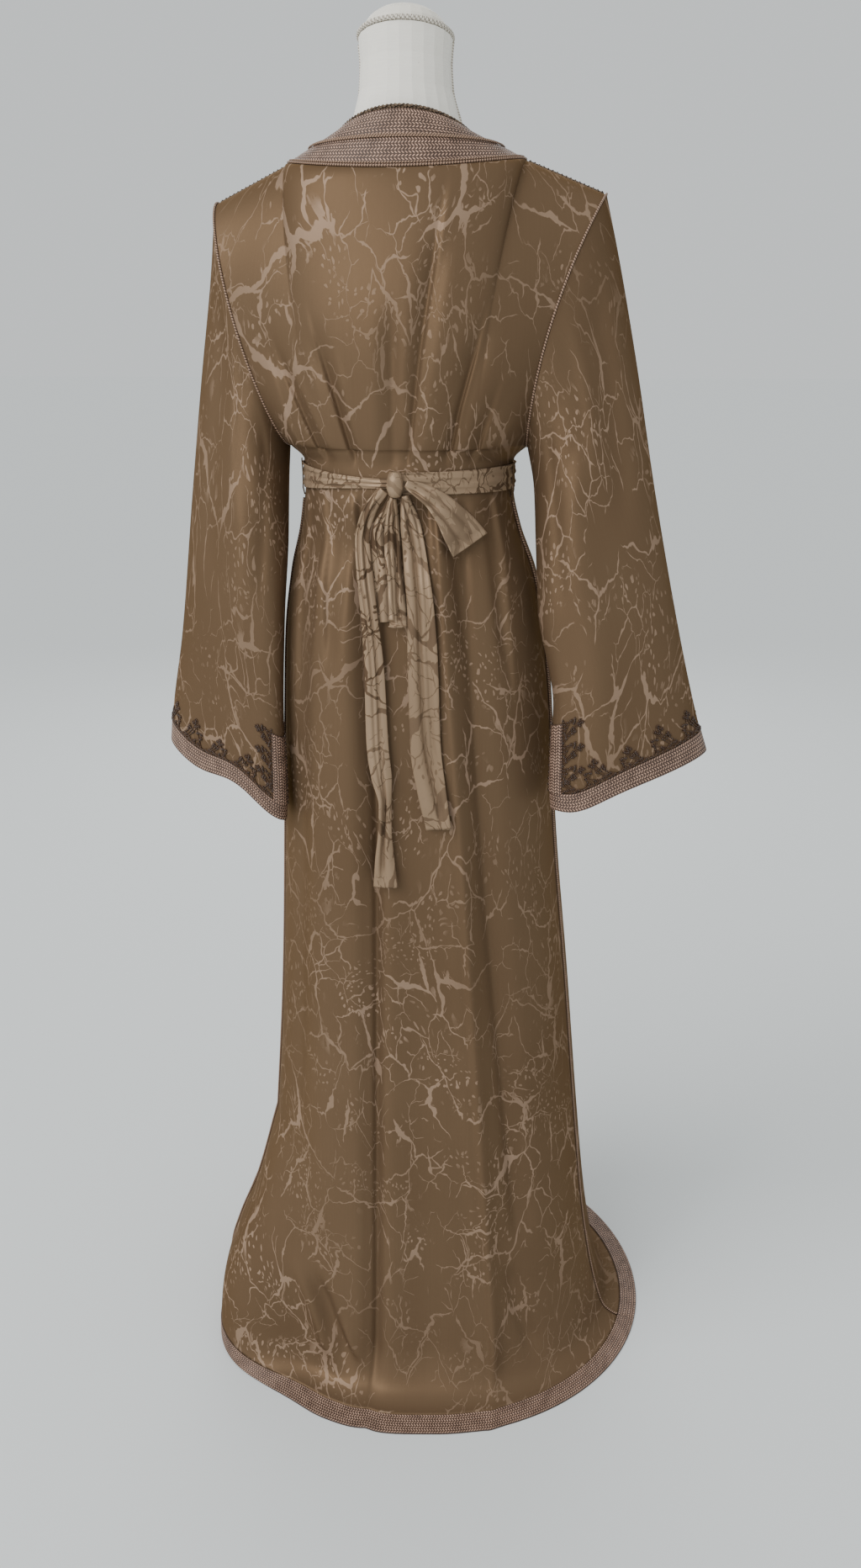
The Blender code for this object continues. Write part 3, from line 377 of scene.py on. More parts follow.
def beads(name: str, centres: Array, radius: float) -> bpy.types.Object:
    """Small round beads in one mesh.

    Formula: each is a ball of three rings of six corners between two poles.

    Args:
        name: object name.
        centres: bead middles.
        radius: bead radius.

    Returns:
        The object.
    """
    sides = 6
    lift = np.radians([-50.0, 0.0, 50.0])
    turn = np.linspace(0, 2 * math.pi, sides + 1)[:-1]
    ring = np.stack(
        [
            np.cos(lift)[:, None] * np.cos(turn),
            np.cos(lift)[:, None] * np.sin(turn),
            np.sin(lift)[:, None] + 0 * turn,
        ],
        axis=-1,
    ).reshape(-1, 3)
    ball = np.concatenate([ring, [[0, 0, -1.0]], [[0, 0, 1.0]]]) * radius
    vertex, _ = quads(3, sides, True)
    col = np.arange(sides)
    low = np.stack([(col + 1) % sides, col, col * 0 + 18], axis=-1)
    high = np.stack([12 + col, 12 + (col + 1) % sides, col * 0 + 19], axis=-1)
    shift = (np.arange(len(centres)) * len(ball))[:, None, None]
    points = (centres[:, None] + ball[None]).reshape(-1, 3)
    body = (vertex[None] + shift).reshape(-1, 4).tolist()
    caps = (np.concatenate([low, high])[None] + shift).reshape(-1, 3).tolist()
    return make_object(name, points, body + caps, None)


# The cut and drape of the cloth


@dataclass(frozen=True)
class Folds:
    """Folds of the panels: a ridge is positive, a trough negative."""

    # side, top z, top x, mid z, mid x, low z, low x, half width, depth
    large: tuple = (
        ("back", 1.20, 0.044, 0.82, 0.029, -0.20, 0.033, 0.014, -0.013),
        ("back", 1.18, 0.010, 0.70, -0.026, -0.20, -0.055, 0.040, -0.010),
        ("back", 1.20, -0.040, 0.82, -0.073, -0.20, -0.150, 0.016, 0.009),
        ("back", 1.20, -0.078, 0.70, -0.120, 0.20, -0.172, 0.014, -0.009),
        ("back", 1.16, 0.085, 0.70, 0.088, -0.20, 0.105, 0.032, 0.008),
        ("back", 1.20, 0.100, 0.90, 0.120, 0.35, 0.145, 0.014, -0.006),
        ("back", 1.21, 0.070, 1.12, 0.072, 1.00, 0.076, 0.011, -0.006),
        ("back", 1.39, 0.148, 1.30, 0.108, 1.21, 0.070, 0.012, -0.008),
        ("back", 1.39, 0.090, 1.30, 0.062, 1.21, 0.038, 0.011, -0.007),
        ("back", 1.41, 0.000, 1.30, 0.002, 1.21, 0.004, 0.011, -0.006),
        ("back", 1.48, -0.052, 1.34, -0.030, 1.21, -0.013, 0.011, -0.006),
        ("back", 1.40, -0.102, 1.30, -0.072, 1.21, -0.053, 0.012, -0.008),
        ("back", 1.33, -0.118, 1.27, -0.095, 1.21, -0.078, 0.011, -0.006),
        ("front", 1.18, 0.096, 0.70, 0.108, -0.20, 0.130, 0.018, -0.010),
        ("front", 1.16, 0.078, 0.70, 0.084, -0.20, 0.098, 0.016, 0.006),
        ("front", 1.18, -0.098, 0.70, -0.118, -0.20, -0.160, 0.018, -0.011),
        ("front", 1.16, -0.080, 0.70, -0.092, -0.20, -0.118, 0.016, 0.007),
        ("front", 1.40, 0.128, 1.31, 0.106, 1.21, 0.086, 0.012, -0.006),
        ("front", 1.38, -0.130, 1.30, -0.108, 1.21, -0.088, 0.012, -0.007),
    )
    fine: tuple = (
        ("back", 1.20, 0.020, 1.15, 0.019, 1.08, 0.016, 0.006, 0.0022),
        ("back", 1.20, 0.058, 1.14, 0.060, 1.05, 0.064, 0.006, -0.0025),
        ("back", 1.20, 0.090, 1.14, 0.094, 1.02, 0.102, 0.007, -0.0025),
        ("back", 1.20, -0.022, 1.15, -0.026, 1.06, -0.036, 0.006, -0.0022),
        ("back", 1.20, -0.060, 1.14, -0.068, 1.02, -0.084, 0.007, -0.0025),
        ("back", 1.20, -0.096, 1.14, -0.108, 1.00, -0.130, 0.007, -0.0025),
        ("back", 1.36, 0.120, 1.29, 0.088, 1.23, 0.060, 0.006, 0.0030),
        ("back", 1.37, 0.066, 1.29, 0.045, 1.23, 0.030, 0.006, 0.0028),
        ("back", 1.36, -0.084, 1.29, -0.062, 1.23, -0.045, 0.006, 0.0028),
        ("back", 1.34, -0.020, 1.28, -0.016, 1.23, -0.012, 0.005, 0.0022),
        ("back", 0.19, 0.150, 0.09, 0.112, 0.005, 0.075, 0.011, 0.0075),
        ("back", 0.17, 0.118, 0.08, 0.086, 0.005, 0.050, 0.012, -0.0095),
        ("back", 0.11, 0.078, 0.06, 0.060, 0.005, 0.022, 0.008, 0.0060),
        ("back", 0.20, -0.150, 0.10, -0.172, 0.005, -0.205, 0.012, -0.0070),
        ("front", 1.20, 0.080, 1.14, 0.084, 1.02, 0.090, 0.007, -0.0025),
        ("front", 1.20, -0.086, 1.14, -0.092, 1.02, -0.104, 0.007, -0.0025),
    )
    # side, top z, top x, mid z, mid x, low z, low x, step, spread, depth
    pleats: tuple = (
        ("back", 1.40, 0.150, 1.30, 0.108, 1.21, 0.070, 0.0020, 0.012, 0.0046),
        ("back", 1.36, 0.144, 1.29, 0.122, 1.21, 0.088, 0.0022, 0.009, 0.0024),
        ("back", 1.41, 0.094, 1.30, 0.062, 1.21, 0.038, 0.0020, 0.012, 0.0046),
        ("back", 1.43, 0.002, 1.30, 0.003, 1.21, 0.004, 0.0040, 0.012, 0.0018),
        ("back", 1.54, -0.060, 1.34, -0.030, 1.21, -0.013, 0.0020, 0.012, 0.0042),
        ("back", 1.42, -0.106, 1.30, -0.072, 1.21, -0.053, 0.0020, 0.012, 0.0046),
        ("back", 1.35, -0.124, 1.27, -0.095, 1.21, -0.078, 0.0020, 0.010, 0.0042),
        ("back", 1.31, -0.132, 1.26, -0.112, 1.21, -0.098, 0.0022, 0.008, 0.0024),
        ("back", 1.21, 0.044, 0.82, 0.029, -0.20, 0.033, 0.0030, 0.022, 0.0048),
        ("back", 1.21, -0.040, 0.82, -0.073, -0.20, -0.150, 0.0030, 0.022, 0.0042),
        ("back", 1.21, 0.082, 1.12, 0.080, 0.98, 0.079, 0.0022, 0.010, 0.0026),
        ("back", 1.21, -0.078, 0.70, -0.120, 0.20, -0.172, 0.0040, 0.018, 0.0034),
        ("back", 1.21, -0.102, 1.14, -0.116, 0.95, -0.140, 0.0022, 0.010, 0.0026),
        ("back", 1.21, 0.106, 1.12, 0.118, 0.90, 0.132, 0.0024, 0.010, 0.0026),
        ("front", 1.21, 0.096, 0.70, 0.108, -0.20, 0.130, 0.0030, 0.018, 0.0034),
        ("front", 1.21, -0.098, 0.70, -0.118, -0.20, -0.160, 0.0030, 0.018, 0.0034),
        ("front", 1.40, 0.128, 1.31, 0.106, 1.21, 0.086, 0.0022, 0.012, 0.0030),
        ("front", 1.38, -0.130, 1.30, -0.108, 1.21, -0.088, 0.0022, 0.012, 0.0030),
    )
    fade: float = 0.055
    waist: float = 1.222
    belt_top: float = 1.238
    calm: float = 0.05
    kept: float = 0.3
    floor: float = 0.06
    floor_kept: float = 0.2
    pleat_foot: float = 0.12
    belt_foot: float = 0.018
    sharp_start: float = 0.012
    soft_start: float = 0.10

    def depth(self, points: Array, fine: bool = True) -> Array:
        """How far the folds push the cloth out (+) or in (-).

        Formula: each fold is a bell curve across a line through three points, times a fade at
        both ends and at the belt. A pleat is a step (hyperbolic tangent) that dies away on both
        sides, raised on its outer side and sunk on the side of the middle. A pleat that starts
        under the belt starts sharply, one on the bodice fades in.

        Args:
            points: places on the unfolded cloth.
            fine: whether the small creases are added.

        Returns:
            The depth at each place.
        """
        x, y, z = points[..., 0], points[..., 1], points[..., 2]
        total = np.zeros(x.shape)
        away = smooth_step(np.abs(z - self.waist) / self.calm)
        for row in self.large + (self.fine if fine else ()):
            side, top_z, top_x, mid_z, mid_x, low_z, low_x, half, depth = row
            on_side = (y > 0) if side == "back" else (y < 0)
            middle = np.interp(z, (low_z, mid_z, top_z), (low_x, mid_x, top_x))
            across = np.exp(-((x - middle) / half) ** 2)
            fade = smooth_step((z - low_z) / self.fade) * smooth_step((top_z - z) / self.fade)
            keep = self.kept + (1 - self.kept) * away if depth < 0 else away
            total = total + np.where(on_side, depth * across * fade * keep, 0.0)
        for row in self.pleats if fine else ():
            side, top_z, top_x, mid_z, mid_x, low_z, low_x, step, spread, depth = row
            on_side = (y > 0) if side == "back" else (y < 0)
            middle = np.interp(z, (low_z, mid_z, top_z), (low_x, mid_x, top_x))
            off = (x - middle) * math.copysign(1.0, mid_x)
            across = np.tanh(off / step) * np.exp(-np.abs(off) / spread)
            if top_z < self.waist:
                foot, grown, start = low_z, self.pleat_foot, self.sharp_start
            else:
                foot, grown, start = self.belt_top, self.belt_foot, self.soft_start
            fade = smooth_step((z - foot) / grown) * smooth_step((top_z - z) / start)
            total = total + np.where(on_side, depth * across * fade, 0.0)
        return total * (self.floor_kept + (1 - self.floor_kept) * smooth_step(z / self.floor))


@dataclass(frozen=True)
class Body:
    """Skirt and bodice below the armpit: ovals from hem to armpit."""

    # length up from the hem, height, half extents left, right, back, front
    sections: tuple = (
        (0.000, 0.0014, 0.276, 0.345, 0.285, 0.300),
        (0.030, 0.0018, 0.251, 0.320, 0.256, 0.272),
        (0.062, 0.0110, 0.234, 0.300, 0.229, 0.246),
        (0.105, 0.0470, 0.226, 0.285, 0.208, 0.224),
        (0.165, 0.1060, 0.219, 0.271, 0.198, 0.210),
        (0.255, 0.1950, 0.210, 0.256, 0.190, 0.198),
        (0.390, 0.3300, 0.197, 0.240, 0.180, 0.185),
        (0.620, 0.5600, 0.178, 0.216, 0.165, 0.168),
        (0.860, 0.8000, 0.165, 0.190, 0.152, 0.152),
        (1.010, 0.9500, 0.158, 0.180, 0.143, 0.142),
        (1.100, 1.0400, 0.152, 0.169, 0.136, 0.135),
        (1.170, 1.1100, 0.141, 0.155, 0.129, 0.127),
        (1.225, 1.1650, 0.128, 0.134, 0.121, 0.118),
        (1.265, 1.2050, 0.1225, 0.1245, 0.116, 0.112),
        (1.283, 1.2220, 0.1220, 0.1240, 0.115, 0.110),
        (1.301, 1.2400, 0.1228, 0.1248, 0.1155, 0.1108),
        (1.322, 1.2570, 0.1400, 0.1420, 0.1195, 0.1170),
    )
    # back-left corner: length up, height, half extents left and back, squareness (2 is an oval)
    corner: tuple = (
        (0.000, 0.0014, 0.281, 0.286, 3.00),
        (0.030, 0.0250, 0.280, 0.285, 3.00),
        (0.062, 0.0500, 0.278, 0.283, 3.00),
        (0.105, 0.0855, 0.273, 0.279, 3.00),
        (0.165, 0.1350, 0.258, 0.262, 2.85),
        (0.255, 0.2120, 0.228, 0.222, 2.50),
        (0.390, 0.3300, 0.197, 0.180, 2.00),
    )
    corner_end: float = math.radians(66.0)
    corner_fade: float = math.radians(40.0)
    folds: Folds = Folds()
    seam_angle: float = math.radians(10.0)
    front_band: float = 0.066

    @property
    def top(self) -> float:
        """Length of cloth up from the hem at the armpit."""
        return self.sections[-1][0]

    def along_of(self, height: Array) -> Array:
        """Length of cloth up from the hem at a height."""
        return curve_through(column(self.sections, 1), column(self.sections, 0), height)

    def outline(self, angle: Array, along: Array) -> Array:
        """Point of the unfolded body.

        Formula: half extents times cosine and sine of the angle. At the back-left corner this
        blends into a cone whose cosine and sine are divided by the root of the sum of their
        powers, which squares the outline.

        Args:
            angle: angle round the body, 0 at the wearer's left and rising to the back.
            along: length of cloth up from the hem.

        Returns:
            The points.
        """
        angle, along = np.broadcast_arrays(np.asarray(angle, float), np.asarray(along, float))
        cosine, sine = np.cos(angle), np.sin(angle)
        height, left, right, back, front = read_table(self.sections, along)
        wide = np.where(cosine > 0, left, right)
        oval = np.stack([wide * cosine, np.where(sine > 0, back, front) * sine, height], axis=-1)
        height, left, back, square = read_table(self.corner, along)
        squared = (np.abs(cosine) ** square + np.abs(sine) ** square) ** (-1 / square)
        deep = np.where(sine > 0, back, front)
        cone = np.stack([left * cosine * squared, deep * sine * squared, height], axis=-1)
        turned = np.abs(np.arctan2(sine, cosine))
        share = smooth_step((self.corner_end - turned) / self.corner_fade)
        share = share * (along < self.corner[-1][0])
        return oval + (cone - oval) * share[..., None]

    def surface(
        self, angle: Array, along: Array, out: float | Array = 0.0, folded: bool = True
    ) -> Array:
        """Cloth below the armpit.

        Formula: the outline, plus the fold depth level outwards, plus out along its normal.

        Args:
            angle: angle round the body.
            along: length of cloth up from the hem.
            out: how far the points stand out.
            folded: whether the folds are added.

        Returns:
            The points.
        """
        angle, along = np.broadcast_arrays(np.asarray(angle, float), np.asarray(along, float))
        here = self.outline(angle, along)
        round_it = self.outline(angle + TINY, along) - self.outline(angle - TINY, along)
        up_it = self.outline(angle, along + TINY) - self.outline(angle, along - TINY)
        level = np.stack([round_it[..., 1], -round_it[..., 0], np.zeros(along.shape)], axis=-1)
        if folded:
            here = here + unit(level) * self.folds.depth(here)[..., None]
        return here + unit(np.cross(round_it, up_it)) * np.asarray(out, float)[..., None]

    def side_seam(self, side: Side) -> float:
        """Angle of a side seam, a little behind the side."""
        return self.seam_angle if side is Side.LEFT else math.pi - self.seam_angle

    def band_angle(self, side: Side, along: Array) -> Array:
        """Angle at which a front panel meets its front band: arc cosine of band over half width.

        Args:
            side: the panel's side.
            along: length of cloth up from the hem.

        Returns:
            The angles.
        """
        wide = np.abs(self.outline(0.0 if side is Side.LEFT else math.pi, along)[..., 0])
        angle = np.arccos(np.clip(self.front_band / wide, -1, 1))
        return -angle if side is Side.LEFT else angle - math.pi

    def seam_shift(self, angle: float, gap: float, along: Array) -> Array:
        """Angle that a gap of cloth takes at this height."""
        here = self.outline(angle, along)
        return gap / np.hypot(here[..., 0], here[..., 1])


@dataclass(frozen=True)
class NeckLine:
    """Outer and neck edges of the neckband."""

    outer_back: tuple = (0.130, 0.093, 1.549, 1.533)
    inner_back: tuple = (0.078, 0.064, 1.568, 1.590)
    front: tuple = (
        (0.0660, -0.1032, 1.2570, 0.0003, -0.1170, 1.2570),
        (0.0660, -0.1120, 1.2900, 0.0003, -0.1195, 1.2950),
        (0.0740, -0.1110, 1.3450, 0.0150, -0.1195, 1.3500),
        (0.0980, -0.0960, 1.4200, 0.0440, -0.1000, 1.4350),
        (0.1200, -0.0580, 1.5050, 0.0690, -0.0600, 1.5260),
        (0.1300, 0.0000, 1.5490, 0.0780, 0.0000, 1.5680),
    )
    rise_power: float = 1.6

    def front_edge(self, part: Array, outer: bool) -> Array:
        """Front run of an edge, a smooth curve through the table.

        Args:
            part: from the armpit level (0) to the shoulder (1).
            outer: whether it is the outer edge.

        Returns:
            The points, on the wearer's left.
        """
        first = 0 if outer else 3
        knots = np.linspace(0.0, 1.0, len(self.front))
        values = [curve_through(knots, column(self.front, first + i), part) for i in range(3)]
        return np.stack(values, axis=-1)

    def back_edge(self, turn: Array, outer: bool) -> Array:
        """Back run of an edge: an oval that rises or falls towards the nape by a power of the sine.

        Args:
            turn: angle from the left shoulder to the right.
            outer: whether it is the outer edge.

        Returns:
            The points.
        """
        wide, deep, shoulder, nape = self.outer_back if outer else self.inner_back
        turn = np.asarray(turn, float)
        rise = (nape - shoulder) * np.clip(np.sin(turn), 0, None) ** self.rise_power
        return np.stack([wide * np.cos(turn), deep * np.sin(turn), shoulder + rise], axis=-1)


@dataclass(frozen=True)
class Armholes:
    """Armhole seams, and the shoulder tips that they start at."""

    tip_left: tuple = (0.2125, 0.0, 1.512)
    tip_right: tuple = (-0.2165, 0.0, 1.515)
    half_depth: float = 0.062
    bow_left: float = 0.006
    bow_right: float = 0.014

    def tip(self, side: Side) -> Array:
        """Shoulder tip of one side."""
        return np.array(self.tip_left if side is Side.LEFT else self.tip_right)

    def bow(self, side: Side) -> float:
        """How far the middle of the ring bows towards +X."""
        return self.bow_left if side is Side.LEFT else self.bow_right

    def ring(self, body: Body, side: Side, turn: Array) -> Array:
        """Armhole seam: an oval between shoulder tip and armpit, bowed by the sine squared.

        Args:
            body: the body that it is cut from.
            side: the armhole's side.
            turn: from the shoulder tip (0) by the back to the armpit (pi).

        Returns:
            The points.
        """
        turn = np.asarray(turn, float)
        tip = self.tip(side)
        pit = body.outline(body.side_seam(side), body.top)
        ring = (tip + pit) / 2 + (tip - pit) / 2 * np.cos(turn)[..., None]
        ring[..., 1] += self.half_depth * np.sin(turn)
        ring[..., 0] += self.bow(side) * np.sin(turn) ** 2
        return ring


def rise_share(part: Array) -> Array:
    """Rows rise evenly round an armhole: half of one less the cosine of part times pi."""
    return (1 - np.cos(math.pi * np.asarray(part, float))) / 2


def rounded_blend(base: Array, top: Array, share: Array) -> Array:
    """Between two lines: straight in x and z, while y rounds over as a quarter circle.

    Args:
        base: the lower line.
        top: the upper line.
        share: how far up, from 0 to 1.

    Returns:
        The points.
    """
    share = np.clip(share, 0.0, 1.0)
    blend = base * (1 - share[..., None]) + top * share[..., None]
    round_over = np.sqrt(np.clip(1 - share ** 2, 0, 1))
    blend[..., 1] = base[..., 1] * round_over + top[..., 1] * (1 - round_over)
    return blend


@dataclass(frozen=True)
class Cut:
    """Everything that the cloth pieces share: body, neckline and armholes."""

    body: Body = Body()
    neck: NeckLine = NeckLine()
    arms: Armholes = Armholes()
    shoulder_share: float = 7 / 26
    back_pull: float = 4.0
    front_pull: float = 1.6
    band_pull: float = 2.0
    back_crown: float = 0.007
    front_crown: float = 0.010

    def back_top(self, part: Array) -> Array:
        """Top of the back: shoulder seam, neckline, shoulder seam.

        Args:
            part: from the left shoulder tip (0) to the right one (1).

        Returns:
            The points.
        """
        part = np.asarray(part, float)
        shoulder = self.shoulder_share
        turn = np.clip((part - shoulder) / (1 - 2 * shoulder), 0, 1) * math.pi
        line = self.neck.back_edge(turn, True)
        for side, near in ((Side.LEFT, part), (Side.RIGHT, 1 - part)):
            share = np.clip(1 - near / shoulder, 0, 1)[..., None]
            line = line * (1 - share) + (line * 0 + self.arms.tip(side)) * share
        return line

    def creased(self, points: Array) -> Array:
        """Yoke points pushed straight back or front by the folds."""
        push = self.body.folds.depth(points) * np.sign(points[..., 1])
        return points + push[..., None] * np.array([0.0, 1.0, 0.0])

    def yoke_back(self, across: Array, part: Array) -> Array:
        """Back above the armpit: base to top line, with both sides pulled out to the armholes.

        Args:
            across: from the left armhole (0) to the right one (1).
            part: from the armpit (0) up to the shoulder (1).

        Returns:
            The points.
        """
        across, part = np.broadcast_arrays(np.asarray(across, float), np.asarray(part, float))
        share = rise_share(part)
        seam = self.body.seam_angle
        base = self.body.outline(seam + (math.pi - 2 * seam) * across, self.body.top)
        here = rounded_blend(base, self.back_top(across), share)
        for side, edge, near in ((Side.LEFT, 0.0, 1 - across), (Side.RIGHT, 1.0, across)):
            edge_base = self.body.outline(self.body.side_seam(side), self.body.top) + here * 0
            edge_top = self.back_top(np.array(edge)) + here * 0
            ring = self.arms.ring(self.body, side, math.pi * (1 - part))
            pull = ring - rounded_blend(edge_base, edge_top, share)
            here = here + pull * (near ** self.back_pull)[..., None]
        here[..., 1] += self.back_crown * np.sin(math.pi * across) * np.sin(math.pi * share) ** 2
        return self.creased(here)

    def yoke_front(self, side: Side, across: Array, part: Array) -> Array:
        """Front above the armpit: base to top line, pulled out to the armhole and the neckband.

        Args:
            side: the panel's side.
            across: from the armhole (0) to the neckband (1).
            part: from the armpit (0) up to the shoulder (1).

        Returns:
            The points.
        """
        across, part = np.broadcast_arrays(np.asarray(across, float), np.asarray(part, float))
        mirror = np.array([side.sign, 1.0, 1.0])
        share = rise_share(part)
        level = self.body.top
        seam = self.body.side_seam(side) - (0.0 if side is Side.LEFT else 2 * math.pi)
        band = self.body.band_angle(side, level)
        tip = self.arms.tip(side)
        neck = self.neck.front_edge(np.array(1.0), True) * mirror
        top = tip * (1 - across[..., None]) + neck * across[..., None]
        here = rounded_blend(self.body.outline(seam + (band - seam) * across, level), top, share)
        for angle, corner, line, near in (
            (seam, tip, self.arms.ring(self.body, side, -math.pi * (1 - part)),
             np.clip(1 - across, 0, 1) ** self.front_pull),
            (band, neck, self.neck.front_edge(share, True) * mirror, across ** self.band_pull),
        ):
            edge_base = self.body.outline(angle, level) + here * 0
            pull = line - rounded_blend(edge_base, corner + here * 0, share)
            here = here + pull * near[..., None]
        here[..., 1] -= self.front_crown * np.sin(math.pi * across) * np.sin(math.pi * share)
        return self.creased(here)


# Finishes


class Graph:
    """Node tree of one material, with short ways to add and join nodes."""

    def __init__(self, name: str) -> None:
        """Start an empty material with its output and shader.

        Args:
            name: the material's name.
        """
        self.material = bpy.data.materials.new(name)
        self.material.use_nodes = True
        self.tree = self.material.node_tree
        self.tree.nodes.clear()
        self.shader = self.tree.nodes.new("ShaderNodeBsdfPrincipled")
        output = self.tree.nodes.new("ShaderNodeOutputMaterial")
        self.tree.links.new(self.shader.outputs["BSDF"], output.inputs["Surface"])

    def put(self, socket: bpy.types.NodeSocket, value: object) -> None:
        """Join a socket to another, or set its own value.

        Args:
            socket: an input.
            value: another node's output, or a number, colour or vector.
        """
        if isinstance(value, bpy.types.NodeSocket):
            self.tree.links.new(value, socket)
        else:
            socket.default_value = value

    def node(self, kind: str, settings: dict, inputs: dict) -> bpy.types.Node:
        """Add a node.

        Args:
            kind: node type without its ShaderNode prefix.
            settings: its properties.
            inputs: sockets or values by input name or number.

        Returns:
            The node.
        """
        made = self.tree.nodes.new("ShaderNode" + kind)
        for key, value in settings.items():
            setattr(made, key, value)
        for key, value in inputs.items():
            self.put(made.inputs[key], value)
        return made

    def shade(self, inputs: dict) -> None:
        """Set or join the shader's inputs by their names."""
        for key, value in inputs.items():
            self.put(self.shader.inputs[key], value)

    def math(self, operation: str, *values: object, clamp: bool = False) -> bpy.types.NodeSocket:
        """One Math node's result."""
        settings = {"operation": operation, "use_clamp": clamp}
        return self.node("Math", settings, dict(enumerate(values))).outputs[0]

    def times(self, first: object, second: object) -> bpy.types.NodeSocket:
        """Product."""
        return self.math("MULTIPLY", first, second)

    def plus(self, first: object, second: object) -> bpy.types.NodeSocket:
        """Sum."""
        return self.math("ADD", first, second)

    def minus(self, first: object, second: object) -> bpy.types.NodeSocket:
        """Difference."""
        return self.math("SUBTRACT", first, second)

    def linear(self, value: object, factor: float, start: float) -> bpy.types.NodeSocket:
        """Value times factor plus start."""
        return self.math("MULTIPLY_ADD", value, factor, start)

    def zigzag(self, value: object) -> bpy.types.NodeSocket:
        """Triangle wave: twice the distance of the value's fraction from a half."""
        centred = self.minus(self.math("FRACT", value), 0.5)
        return self.times(self.math("ABSOLUTE", centred), 2.0)

    def weave(self, first: object, second: object, pitch: float) -> bpy.types.NodeSocket:
        """Threads that cross: product of the sines of two places, one turn to each pitch."""
        turn = 2 * math.pi / pitch
        return self.times(*(self.math("SINE", self.times(at, turn)) for at in (first, second)))

    def noise(
        self, vector: object, scale: float, detail: float = 2.0, rough: float = 0.5
    ) -> bpy.types.NodeSocket:
        """Noise from 0 to 1."""
        inputs = {"Vector": vector, "Scale": scale, "Detail": detail, "Roughness": rough}
        return self.node("TexNoise", {}, inputs).outputs["Fac"]

    def cells(self, vector: object, feature: str, scale: float) -> bpy.types.NodeSocket:
        """Distance in a flat pattern of cells: to their edges, or to their middles.

        Args:
            vector: place.
            feature: DISTANCE_TO_EDGE, or F1 for the middles.
            scale: cells to the metre.

        Returns:
            The distance.
        """
        settings = {"feature": feature, "voronoi_dimensions": "2D"}
        made = self.node("TexVoronoi", settings, {"Vector": vector, "Scale": scale})
        return made.outputs["Distance"]

    def mapped(self, vector: object, scale: tuple, turn: float = 0.0) -> bpy.types.NodeSocket:
        """The vector stretched and turned."""
        inputs = {"Vector": vector, "Scale": scale, "Rotation": (0.0, 0.0, turn)}
        return self.node("Mapping", {}, inputs).outputs[0]

    def wobble(self, vector: object, scale: float, amount: float) -> bpy.types.NodeSocket:
        """The vector moved about by coloured noise less a half.

        Args:
            vector: what is moved.
            scale: the noise's scale.
            amount: how far.

        Returns:
            The moved vector.
        """
        inputs = {"Vector": vector, "Scale": scale, "Detail": 2.5}
        value = self.node("TexNoise", {}, inputs).outputs["Color"]
        for operation, inputs in (
            ("SUBTRACT", {1: (0.5, 0.5, 0.5)}), ("SCALE", {"Scale": amount}), ("ADD", {1: vector}),
        ):
            settings = {"operation": operation}
            value = self.node("VectorMath", settings, {0: value, **inputs}).outputs[0]
        return value

    def ramp(self, value: object, low: float, high: float) -> bpy.types.NodeSocket:
        """0 below low, 1 above high, smooth between; low may be the greater.

        Args:
            value: what is read.
            low: where it starts.
            high: where it ends.

        Returns:
            The share.
        """
        settings = {"interpolation_type": "SMOOTHSTEP"}
        inputs = {"Value": value, "From Min": low, "From Max": high}
        return self.node("MapRange", settings, inputs).outputs["Result"]

    def mix(self, share: object, first: object, second: object) -> bpy.types.NodeSocket:
        """Mix of two colours."""
        inputs = {0: share, 6: first, 7: second}
        return self.node("Mix", {"data_type": "RGBA"}, inputs).outputs[2]

    def bump(self, height: object, strength: float, distance: float) -> None:
        """Relief on the shader."""
        settings = {"Height": height, "Strength": strength, "Distance": distance}
        self.shade({"Normal": self.node("Bump", {}, settings).outputs["Normal"]})

    def place(self) -> bpy.types.NodeSocket:
        """The piece's own map of the cloth, in metres."""
        return self.node("UVMap", {"uv_map": "cloth"}, {}).outputs["UV"]

    def object_place(self) -> bpy.types.NodeSocket:
        """Object coordinates, in metres."""
        return self.node("TexCoord", {}, {}).outputs["Object"]

    def split(self, vector: object) -> Sequence[bpy.types.NodeSocket]:
        """The vector's x, y and z."""
        return tuple(self.node("SeparateXYZ", {}, {"Vector": vector}).outputs)


def colour(red: float, green: float, blue: float) -> tuple[float, float, float, float]:
    """Linear colour from values between 0 and 255 on a screen.

    Args:
        red: red.
        green: green.
        blue: blue.

    Returns:
        Linear red, green and blue, and an alpha of one.
    """
    parts = [value / 255 for value in (red, green, blue)]
    linear = [p / 12.92 if p <= 0.04045 else ((p + 0.055) / 1.055) ** 2.4 for p in parts]
    return (*linear, 1.0)


